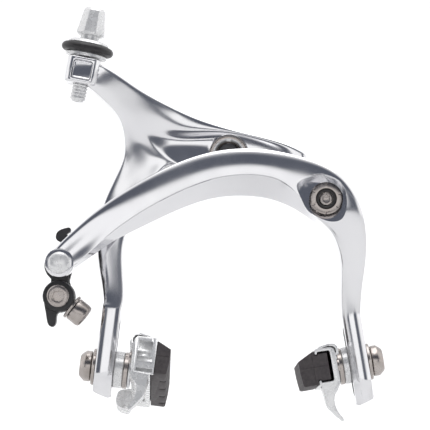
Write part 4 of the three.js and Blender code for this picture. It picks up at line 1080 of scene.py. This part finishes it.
def buildShoeWashers(side):
    size = shoeSizes
    bore, dish = size["bolt"] + 0.08, size["dish"]
    face = legHalf + 0.1
    spacer = size["spacers"][side]
    dishStart = -face - spacer - 0.1
    stack = dishStart - size["dishes"]
    rings = [
        ("outer_washer", "chamfered_washer", steelFinish, "steel", False,
         [(bore, face), (dish - 0.2, face), (dish, face + 0.2), (dish, face + 0.75), (dish - 0.25, face + 1),
          (bore + 0.15, face + 1), (bore, face + 0.85)]),
        ("spacer", "spacer_ring", machinedFinish, "alloy", False,
         [(bore, -face), (dish - 0.25, -face), (dish, -face - 0.25), (dish, 0.25 - face - spacer),
          (dish - 0.25, -face - spacer), (bore, -face - spacer)]),
        ("concave_washer", "concave_washer_ring", steelFinish, "steel", False,
         [(bore, dishStart), (bore, dishStart - 0.5), (4.2, dishStart - 0.85), (dish - 0.15, dishStart - 1.35),
          (dish, dishStart - 1.25), (dish, dishStart - 0.15), (dish - 0.15, dishStart)]),
        ("convex_washer", "convex_washer_ring", satinFinish, "steel", True,
         [(bore, dishStart - 0.6), (bore, stack), (dish - 0.6, stack), (dish - 0.4, stack + 0.2),
          (dish - 0.4, dishStart - 1.55), (4.2, dishStart - 1.02)])]
    for node, name, look, slot, tipped, profile in rings:
        ring = turnedAcross(side + "_" + name, profile)
        smoothShade(ring, 30)
        body = side + ("_shoe" if tipped else "_pad_bolt")
        finishPiece(ontoBolt(ring, side, tipped), look, body, slot, side + "_" + node)


def padScrewPlace():
    return 6 - shoeSizes["length"] / 2


def buildHolder(side, back):
    size = shoeSizes
    front, rear = -size["length"] / 2, size["length"] / 2
    mouth = back - size["depth"]
    wall = back - size["backWall"]
    # a thin channel with hooked lips, closed at the rear
    half = [(back, 3.6), (back - 0.25, 4.7), (back - 1, 5.35), (back - 2.2, 5.5), (mouth + 0.5, 5.5),
            (mouth, 5.2), (mouth - 0.05, 4.1), (mouth + 0.3, 3.85), (mouth + 0.6, 4.15), (mouth + 0.7, 4.65),
            (wall - 0.4, 4.6), (wall, 4.2)]
    channel = outlinePiece(side + "_shoe_holder", half[::-1] + [(x, -z) for x, z in half], front, rear)
    stop = boxPiece("rear_stop", (mouth + 0.1, rear - 1.6, -5.3), (back - 0.3, rear, 5.3))
    tip = -size["height"] / 2 - size["finDrop"]
    claw = outlinePiece("wheel_guide", smoothOutline([
        (mouth + 0.75, -5.2), (mouth + 0.72, tip + 8), (mouth + 0.95, tip + 5), (mouth + 2.2, tip + 2.8),
        (mouth + 4.6, tip - 0.15), (mouth + 5.15, tip + 0.35), (mouth + 4, tip + 2.5), (mouth + 3.4, tip + 5),
        (mouth + 3.7, tip + 7.3), (mouth + 4.7, tip + 8.7), (back - 0.3, -6.2), (back - 0.2, -5.2)], 4),
        front + 0.1, front + size["finLength"])
    slope = editPiece(claw)
    for vertex in slope.verts:
        if vertex.co.y > (front + 6) * mm:
            deep = max(0, -5.5 - vertex.co.z / mm) / size["finDrop"]
            vertex.co.y -= 8 * deep * mm
    bmesh.update_edit_mesh(claw.data)
    closePiece(claw)
    # a hood over the washers at each end, in two thin layers
    hood = [(mouth + 0.5, 5.3), (mouth + 1.6, 6.05), (back - 1.6, 6.5), (back + 0.1, 6.25), (back + 0.9, 5.3),
            (back + 1.05, 3.2), (back - 0.4, 2.4), (back - 0.4, 3.3), (back + 0.35, 3.7), (back + 0.3, 4.9),
            (back - 0.3, 5.6), (back - 1.7, 5.95), (mouth + 2.6, 5.75), (mouth + 2.2, 5.3)]
    hoods = [outlinePiece("hood", hood, *span) for span in ((front + 0.2, -7.5), (7.5, rear - 0.2))]
    weld(channel, stop, claw, *hoods)
    if side == "left":
        plate = outlinePiece("rear_plate", smoothOutline([
            (back - 0.6, -3), (back + 3.4, -3.2), (back + 4.4, -5.2), (back + 4.2, -7.4), (back + 2.6, -8.6),
            (back + 0.4, -8.7), (back - 0.4, -7.4)], 4), 15, 24)
        arm = boxPiece("plate_root", (back - 1, 15.5, -4.6), (back + 1.4, 23.5, -2.4))
        weld(channel, plate, arm)
    cutters = [roundBar("bolt_hole", size["bolt"] + 0.08, (wall - 1, 0, 0), (back + 1, 0, 0)),
               roundBar("screw_hole", 1.1, (wall - 1, padScrewPlace(), 0), (back + 1, padScrewPlace(), 0), 24)]
    for level in (-6, 5):  # windows through the lower and upper walls
        for shift in (-20, -9, 13):
            cutters.append(boxPiece("window", (mouth + 1.6, shift, level), (wall - 0.9, shift + 5, level + 1.7)))
    for rib in range(9):  # fine ribs on the back
        y = -24 + rib * 2.1
        if abs(y - padScrewPlace()) > 2.6:
            cutters.append(boxPiece("rib_gap", (back - 0.35, y, -3.4), (back + 0.3, y + 0.8, 2.2)))
    if side == "left":  # the closed end, with its window, steps and slot
        end = outlinePiece("end_wall", [(mouth - 1, 5.5), (mouth - 1, -5.5), (wall + 0.4, -5.5), (wall + 0.4, 5.5)],
                           front, front + 1.1)
        weld(channel, end)
        cutters.append(boxPiece("end_window", (mouth + 0.2, front - 1, 1.6), (wall - 0.2, front + 0.8, 4.3)))
        cutters.append(boxPiece("end_slot", (mouth - 0.4, front - 1, -5), (wall - 0.1, front + 0.9, -3.9)))
        for step in range(3):
            cutters.append(boxPiece("end_step", (mouth - 0.6 + 0.5 * step, front - 1, -3.3 + 1.5 * step),
                                    (wall, front + 0.2 + 0.15 * step, -2 + 1.5 * step)))
    carve(channel, *cutters)
    breakEdges(channel, 0.14, 2, 40)
    smoothShade(channel, 35)
    finishPiece(ontoBolt(channel, side), machinedFinish, side + "_shoe", "alloy", side + "_pad_holder")


def buildPad(side, back):
    size = shoeSizes
    mouth = back - size["depth"]
    inside = back - size["backWall"] - size["clear"] - 0.7
    slide = 4
    upper = size["height"] / 2 - 0.4
    face = mouth - size["proud"]
    outline = [(inside, slide), (mouth + 0.9, slide), (mouth + 0.6, 3.6), (mouth - 0.2, 3.6), (mouth - 0.3, upper),
               (mouth - 2.6, upper - 1.1), (face, size["face"] - upper), (face + 0.1, -1), (face + 0.5, -upper + 0.3),
               (face + 1, -upper), (mouth - 0.3, -upper), (mouth - 0.2, -3.6), (mouth + 0.6, -3.6),
               (mouth + 0.9, -slide), (inside, -slide)]
    front, rear = -size["length"] / 2, size["length"] / 2 - 1.9
    pad = outlinePiece(side + "_brake_shoe", outline, front, rear)
    cutters = []
    for share in (-0.28, -0.06, 0.16, 0.36):  # water grooves
        y = share * size["length"]
        cutters.append(boxPiece("groove", (face - 1, y - size["grooveWidth"] / 2, -8),
                                (face + size["grooveDepth"], y + size["grooveWidth"] / 2, 6)))
    # moulding seams on the end face and along the sides
    cutters.append(boxPiece("seam", (face + 0.4, front - 1, 0.15), (mouth + 3, front + 0.12, 0.3)))
    cutters.append(boxPiece("seam", (mouth - 1.1, front - 1, -8), (mouth - 0.98, front + 0.12, 8)))
    if side == "left":  # room for the holder's closed end
        cutters.append(boxPiece("end_room", (mouth - 1.2, front - 1, -8), (back, front + 1.2, 8)))
    carve(pad, *cutters)
    breakEdges(pad, 0.22, 3, 30)
    smoothShade(pad, 32)
    finishPiece(ontoBolt(pad, side), padFinish, side + "_shoe", "pad_rubber", side + "_brake_pad")

    place = padScrewPlace()
    screw = turnedAcross(side + "_pad_grub_screw", [
        (0, back - 1.4), (0.95, back - 1.4), (0.95, back + 0.15), (1.75, back + 0.15), (1.9, back + 0.35),
        (1.75, back + 0.85), (1.4, back + 1), (0, back + 1)], 32)
    carve(screw, roundBar("hex_cutter", 0.85, (back + 0.2, 0, 0), (back + 2, 0, 0), 6))
    smoothShade(screw, 30)
    makeActive(screw)
    screw.matrix_world = Matrix.Translation((0, place * mm, 0))
    bpy.ops.object.transform_apply(location=True, rotation=True, scale=True)
    finishPiece(ontoBolt(screw, side), steelFinish, side + "_shoe", "steel", side + "_pad_screw")


for sideName in ("right", "left"):
    holderBack = -legHalf - shoeSizes["spacers"][sideName] - shoeSizes["dishes"] - 0.6
    buildShoeBolt(sideName, holderBack)
    buildShoeWashers(sideName)
    buildHolder(sideName, holderBack)
    buildPad(sideName, holderBack)
print("brake shoes made")


springSizes = {"wire": 0.9, "sides": 12, "perSpan": 8, "route": ((-10, -6, -3.6), (-16.5, -6.2, -5.4),
                                                                (-24, -7, -9), (-30, -8, -15.5),
                                                                (-34.5, -8.6, -23))}


def smoothRoute(points, perSpan):
    places = [Vector(point) for point in points]
    places = [2 * places[0] - places[1]] + places + [2 * places[-1] - places[-2]]
    smooth = []
    for a, b, c, d in zip(places, places[1:], places[2:], places[3:]):
        for step in range(perSpan):
            t = step / perSpan
            smooth.append(0.5 * (2 * b + (c - a) * t + (2 * a - 5 * b + 4 * c - d) * t * t
                                 + (3 * b - a - 3 * c + d) * t ** 3))
    return smooth + [places[-2]]


def tubeAlong(name, points, radius, sides):
    rings = []
    for i, place in enumerate(points):
        along = (points[min(i + 1, len(points) - 1)] - points[max(i - 1, 0)]).normalized()
        side = along.cross(Vector((0, 1, 0))).normalized()
        up = side.cross(along)
        rings.append([place + (side * math.cos(turn) + up * math.sin(turn)) * radius
                      for turn in [2 * math.pi * k / sides for k in range(sides)]])
    clearSelection()
    bpy.ops.mesh.primitive_circle_add(vertices=sides, radius=mm, fill_type="NGON")
    piece = bpy.context.object
    piece.name = name
    mesh = editPiece(piece, "FACE")
    mesh.verts.ensure_lookup_table()
    for vertex, place in zip(mesh.verts, rings[0]):
        vertex.co = place * mm
    bpy.ops.mesh.select_all(action="SELECT")
    for before, after in zip(rings, rings[1:]):
        extrudeTo(piece, before, after)
    return pointOut(closePiece(piece))


def buildSpring():
    size = springSizes
    points = smoothRoute(size["route"], size["perSpan"])
    spring = tubeAlong("return_spring_wire", points, size["wire"], size["sides"])
    breakEdges(spring, 0.2, 2, 60)
    smoothShade(spring, 50)
    spring.data.materials.append(steelFinish)
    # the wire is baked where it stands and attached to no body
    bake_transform(spring)
    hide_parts("return_spring")

    for node, name, body in (("spring_sleeve", "spring_guide_sleeve", "core"),
                             ("spring_slider", "spring_slide_block", "rear_arm_body")):
        low, high = nodeBox(node)
        if node == "spring_slider":
            high.x -= 2.2
        block = boxPiece(name, low, high)
        breakEdges(block, 0.7, 4, 30)
        waist = Vector(((low.x + high.x) / 2, (low.y + high.y) / 2, low.z))
        carve(block, tubeAlong("wire_way", points, size["wire"] + 0.3, size["sides"]),
              boxPiece("draft_groove", (waist.x - 0.3, low.y - 1, low.z - 1), (waist.x + 0.3, low.y + 0.5,
                                                                             high.z + 1)))
        breakEdges(block, 0.08, 1, 40)
        smoothShade(block, 40)
        finishPiece(block, blackFinish, body, "black_plastic", node)


def buildBackPlate():
    front, back = frontOf("back_plate"), backOf("back_plate")
    lean = math.degrees(math.atan2(sidePivot.z, sidePivot.x))
    outline = (arcPoints(sidePivot.x, sidePivot.z, 5.8, -155, lean + 90, 17)
               + arcPoints(0, 0, 9, lean + 88, 160, 13) + arcPoints(-11, -4, 4.5, 135, 260, 9)
               + arcPoints(0, 0, 9, 235, 310, 7))
    plate = outlinePiece("pivot_back_plate", outline, front, back)
    along = Vector((sidePivot.x, 0, sidePivot.z)).normalized()
    across = Vector((-along.z, 0, along.x))
    # a pocket in each face of the web between the two hubs
    for place, reach in ((front, 1.4), (back, -1.4)):
        corners = [along * a + across * b for a, b in ((11, -2.6), (22.5, -2), (22.5, 2.2), (11, 3.4))]
        pocket = outlinePiece("web_pocket", smoothOutline([(c.x, c.z) for c in corners], 6),
                              min(place - reach, place + reach), max(place - reach, place + reach))
        carve(plate, pocket)
    side = sidePivot
    carve(plate, roundBar("centre_bore", 4.1, (0, front - 1, 0), (0, back + 1, 0), 64),
          roundBar("side_bore", 4.1, (side.x, front - 1, side.z), (side.x, back + 1, side.z), 64))
    points = smoothRoute(springSizes["route"][:3], 6)
    first = (points[0] - points[1]).normalized()
    carve(plate, tubeAlong("spring_bore", [points[0] + first * 1.2] + points, 1.2, 16))
    breakEdges(plate, 0.5, 3, 40)
    smoothShade(plate, 35)
    finishPiece(plate, alloyFinish, "core", "alloy", "back_plate")


def buildCrownHardware():
    low, high = nodeBox("crown_washer")
    thick, radius = high.y - low.y, (high.x - low.x) / 2
    washer = turnedPiece("serrated_crown_washer",
                         [(3.2, 0.2), (3.4, 0), (radius - 0.4, 0), (radius, 0.4), (radius, thick - 0.35),
                          (radius - 0.15, thick - 0.2), (3.7, thick - 0.2), (3.2, thick - 0.4)], (0, low.y, 0),
                         backward, 96)
    teeth = []
    for k in range(24):  # radial teeth that bite on the fork crown
        turn = math.radians(15 * k)
        way = Vector((math.cos(turn), 0, math.sin(turn)))
        start, end = way * 3.9, way * (radius - 0.3)
        teeth.append(roundBar("tooth", 0.42, (start.x, high.y - 0.42, start.z), (end.x, high.y - 0.42, end.z), 4))
    weld(washer, *teeth)
    smoothShade(washer, 25)
    finishPiece(washer, steelFinish, "core", "steel", "crown_washer")

    low, high = nodeBox("centre_bolt")
    foot, length = -low.y, high.y - low.y
    threadFrom = foot + 9
    thread = [(3 - 3.0 + r, h) for r, h in threadProfile(3, threadFrom, length - 1, 1, 0.3)]
    bolt = turnedPiece("centre_pivot_bolt",
                       [(0, 0), (3.6, 0), (4, 0.4), (4, foot - 3), (3, foot - 3), (3, threadFrom - 0.6)] + thread
                       + [(2.4, length), (0, length)], (0, low.y, 0), backward, 48)
    carve(bolt, roundBar("hex_cutter", 1.7, (0, low.y - 1, 0), (0, low.y + 2, 0), 6))
    smoothShade(bolt, 30)
    finishPiece(bolt, steelFinish, "core", "steel", "centre_bolt")

    low, high = nodeBox("sleeve_nut")
    length = high.y - low.y
    nut = turnedPiece("recessed_sleeve_nut",
                      [(3.1, 0.3), (3.4, 0), (3.7, 0), (4, 0.4), (4, length - 2.2), (4.4, length - 2),
                       (4.8, length - 2), (5, length - 1.8), (5, length - 0.5), (4.6, length), (3.3, length),
                       (3, length - 0.3), (3, length - 5), (3.1, length - 5.4)], (0, low.y, 0), backward, 64)
    shoulder = turnedPiece("hex_wall", [(3.05, length - 5.4), (2.3, length - 5.4), (2.3, length - 0.6),
                                        (3.2, length - 0.6)], (0, low.y, 0), backward, 48)
    weld(nut, shoulder)
    carve(nut, roundBar("hex_cutter", 2.65, (0, high.y - 6, 0), (0, high.y + 1, 0), 6))
    breakEdges(nut, 0.1, 2, 50)
    smoothShade(nut, 30)
    finishPiece(nut, steelFinish, "core", "steel", "sleeve_nut")


def buildThrustWashers():
    for node, name, look, slot in (("rear_thrust_washer", "rear_slip_washer", blackFinish, "black_plastic"),
                                   ("side_thrust_washer", "side_slip_washer", blackFinish, "black_plastic"),
                                   ("front_thrust_washer", "front_slip_washer", steelFinish, "steel")):
        low, high = nodeBox(node)
        thick, radius = high.y - low.y, (high.x - low.x) / 2
        x, z = (low.x + high.x) / 2, (low.z + high.z) / 2
        rise = thick * 0.2
        washer = turnedPiece(name, [(4.08, rise), (4.08 + rise, 0), (radius - rise, 0), (radius, rise),
                                    (radius, thick - rise), (radius - rise, thick), (4.08 + rise, thick),
                                    (4.08, thick - rise)], (x, low.y, z), backward, 64)
        for k in range(4):  # grease grooves in the front face
            turn = math.radians(45 + 90 * k)
            way = Vector((math.cos(turn), 0, math.sin(turn))) * (radius + 1)
            carve(washer, roundBar("groove", thick * 0.15, (x, low.y, z), (x + way.x, low.y, z + way.z), 8))
        smoothShade(washer, 35)
        finishPiece(washer, look, "core", slot, node)


buildBackPlate()
buildSpring()
buildCrownHardware()
buildThrustWashers()
print("back plate, spring and crown hardware made")


def buildStage():
    # a white sweep: floor, curve and back in one sheet, which glows from none on the floor to most on the back wall,
    # as painted light that stands in for a lit wall
    sweep = {"floor": -0.13, "front": -0.5, "back": 1.6, "height": 3.2, "half": 3.5, "bend": 0.6, "steps": 10,
             "floorGlow": 0, "wallGlow": 0.44}
    clearSelection()
    bpy.ops.mesh.primitive_plane_add(size=1)
    piece = bpy.context.object
    piece.name = "white_sweep"
    mesh = editPiece(piece, "EDGE")
    for vertex in mesh.verts:
        far = vertex.co.y > 0
        vertex.co = Vector((math.copysign(sweep["half"], vertex.co.x),
                            sweep["back"] - sweep["bend"] if far else sweep["front"], sweep["floor"]))
    for edge in mesh.edges:
        edge.select = all(vertex.co.y > 0 for vertex in edge.verts)
    bmesh.update_edit_mesh(piece.data)
    for i in range(sweep["steps"]):
        a, b = (math.radians(90 * k / sweep["steps"]) for k in (i, i + 1))
        shift = Vector((0, math.sin(b) - math.sin(a), math.cos(a) - math.cos(b))) * sweep["bend"]
        bpy.ops.mesh.extrude_region_move(TRANSFORM_OT_translate={"value": shift})
    bpy.ops.mesh.extrude_region_move(TRANSFORM_OT_translate={"value": (0, 0, sweep["height"])})
    bpy.ops.mesh.select_all(action="SELECT")
    bpy.ops.mesh.normals_make_consistent(inside=False)
    closePiece(piece)
    smoothShade(piece, 60)
    paintedGlowPaper, nodes, links, shader, place = newMaterial("white_paper_painted_glow", (0.8, 0.8, 0.8), 0, 0.9)
    tint(nodes, links, addNoise(nodes, links, place, 300, 3), (0.79, 0.79, 0.79), (0.81, 0.81, 0.81), shader)
    split = nodes.new("ShaderNodeSeparateXYZ")
    links.new(place.outputs["Object"], split.inputs["Vector"])
    # painted light: the emission rises from the floor under the caliper to the back wall, so the wall looks lit
    glow = spread(nodes, links, split.outputs["Y"], sweep["floorGlow"], sweep["wallGlow"], 0.3, 0.9)
    shader.inputs["Emission Color"].default_value = (1, 1, 1, 1)
    links.new(glow, shader.inputs["Emission Strength"])
    piece.data.materials.append(paintedGlowPaper)


def skyWindow(nodes, links, source, low, high, softLow, softHigh):
    # one between low and high, and nothing outside
    rise = nodes.new("ShaderNodeMapRange")
    rise.interpolation_type = "SMOOTHSTEP"
    rise.inputs["From Min"].default_value = low - softLow
    rise.inputs["From Max"].default_value = low + softLow
    links.new(source, rise.inputs["Value"])
    fall = nodes.new("ShaderNodeMapRange")
    fall.interpolation_type = "SMOOTHSTEP"
    fall.inputs["From Min"].default_value = high - softHigh
    fall.inputs["From Max"].default_value = high + softHigh
    fall.inputs["To Min"].default_value = 1
    fall.inputs["To Max"].default_value = 0
    links.new(source, fall.inputs["Value"])
    return joinSky(nodes, links, "MULTIPLY", rise.outputs["Result"], fall.outputs["Result"])


def joinSky(nodes, links, how, first, second):
    joined = nodes.new("ShaderNodeMath")
    joined.operation = how
    links.new(first, joined.inputs[0])
    links.new(second, joined.inputs[1])
    return joined.outputs["Value"]


def buildWorld():
    # a white tent with dark openings in front, which give polished metal its dark bands
    studio = {"white": (1.2, 1.2, 1.2, 1), "dark": (0.12, 0.13, 0.16, 1),
              "upper": (0.2, 0.72, 0.07, 0.16), "lower": (-0.27, -0.13, 0.03, 0.03),
              "front": (-2, -0.3, 0.05, 0.25), "side": (0.4, 0.86, 0.08, 0.1), "sideHeight": (-0.4, 0.3, 0.1, 0.2)}
    world = bpy.data.worlds.new("studio")
    bpy.context.scene.world = world
    world.use_nodes = True
    nodes, links = world.node_tree.nodes, world.node_tree.links
    background = nodes["Background"]
    place = nodes.new("ShaderNodeTexCoord")
    split = nodes.new("ShaderNodeSeparateXYZ")
    links.new(place.outputs["Generated"], split.inputs["Vector"])
    x, y, z = (split.outputs[axis] for axis in "XYZ")
    width = nodes.new("ShaderNodeMath")
    width.operation = "ABSOLUTE"
    links.new(x, width.inputs[0])
    inFront = skyWindow(nodes, links, y, *studio["front"])
    bands = joinSky(nodes, links, "MAXIMUM", skyWindow(nodes, links, z, *studio["upper"]),
                    skyWindow(nodes, links, z, *studio["lower"]))
    strips = joinSky(nodes, links, "MULTIPLY", skyWindow(nodes, links, width.outputs["Value"], *studio["side"]),
                     skyWindow(nodes, links, z, *studio["sideHeight"]))
    dark = joinSky(nodes, links, "MULTIPLY", joinSky(nodes, links, "MAXIMUM", bands, strips), inFront)
    mix = nodes.new("ShaderNodeMix")
    mix.data_type = "RGBA"
    mix.inputs[6].default_value = studio["white"]
    mix.inputs[7].default_value = studio["dark"]
    links.new(dark, mix.inputs[0])
    # what is seen directly past the sweep is plain white
    path = nodes.new("ShaderNodeLightPath")
    seen = nodes.new("ShaderNodeMix")
    seen.data_type = "RGBA"
    seen.inputs[7].default_value = (1, 1, 1, 1)
    links.new(path.outputs["Is Camera Ray"], seen.inputs[0])
    links.new(mix.outputs[2], seen.inputs[6])
    links.new(seen.outputs[2], background.inputs["Color"])


def addSoftbox(name, place, aim, size, power):
    clearSelection()
    bpy.ops.object.light_add(type="AREA", location=place)
    lamp = bpy.context.object
    lamp.name = name
    lamp.data.shape = "RECTANGLE"
    lamp.data.size, lamp.data.size_y = size
    lamp.data.energy = power
    lamp.rotation_euler = (Vector(aim) - Vector(place)).to_track_quat("-Z", "Y").to_euler()


def buildCamera():
    # level with the pads, looking slightly up at the middle
    view = {"aim": (-0.0042, -0.02, -0.0184), "distance": 0.8, "height": -0.066, "wide": 0.1323}
    aim = Vector(view["aim"])
    place = Vector((aim.x, aim.y - view["distance"], view["height"]))
    clearSelection()
    bpy.ops.object.camera_add(location=place)
    camera = bpy.context.object
    camera.name = "front_camera"
    camera.rotation_euler = (aim - place).to_track_quat("-Z", "Y").to_euler()
    camera.data.sensor_width = 36
    camera.data.lens = 36 * (aim - place).length / view["wide"]
    camera.data.clip_start = 0.01
    bpy.context.scene.camera = camera


buildStage()
buildWorld()
buildCamera()
addSoftbox("top_box", (0.1, -0.1, 0.75), (0, -0.02, -0.02), (0.9, 0.6), 3)
bpy.context.scene.view_settings.view_transform = "Standard"
print("stage, light and camera set")
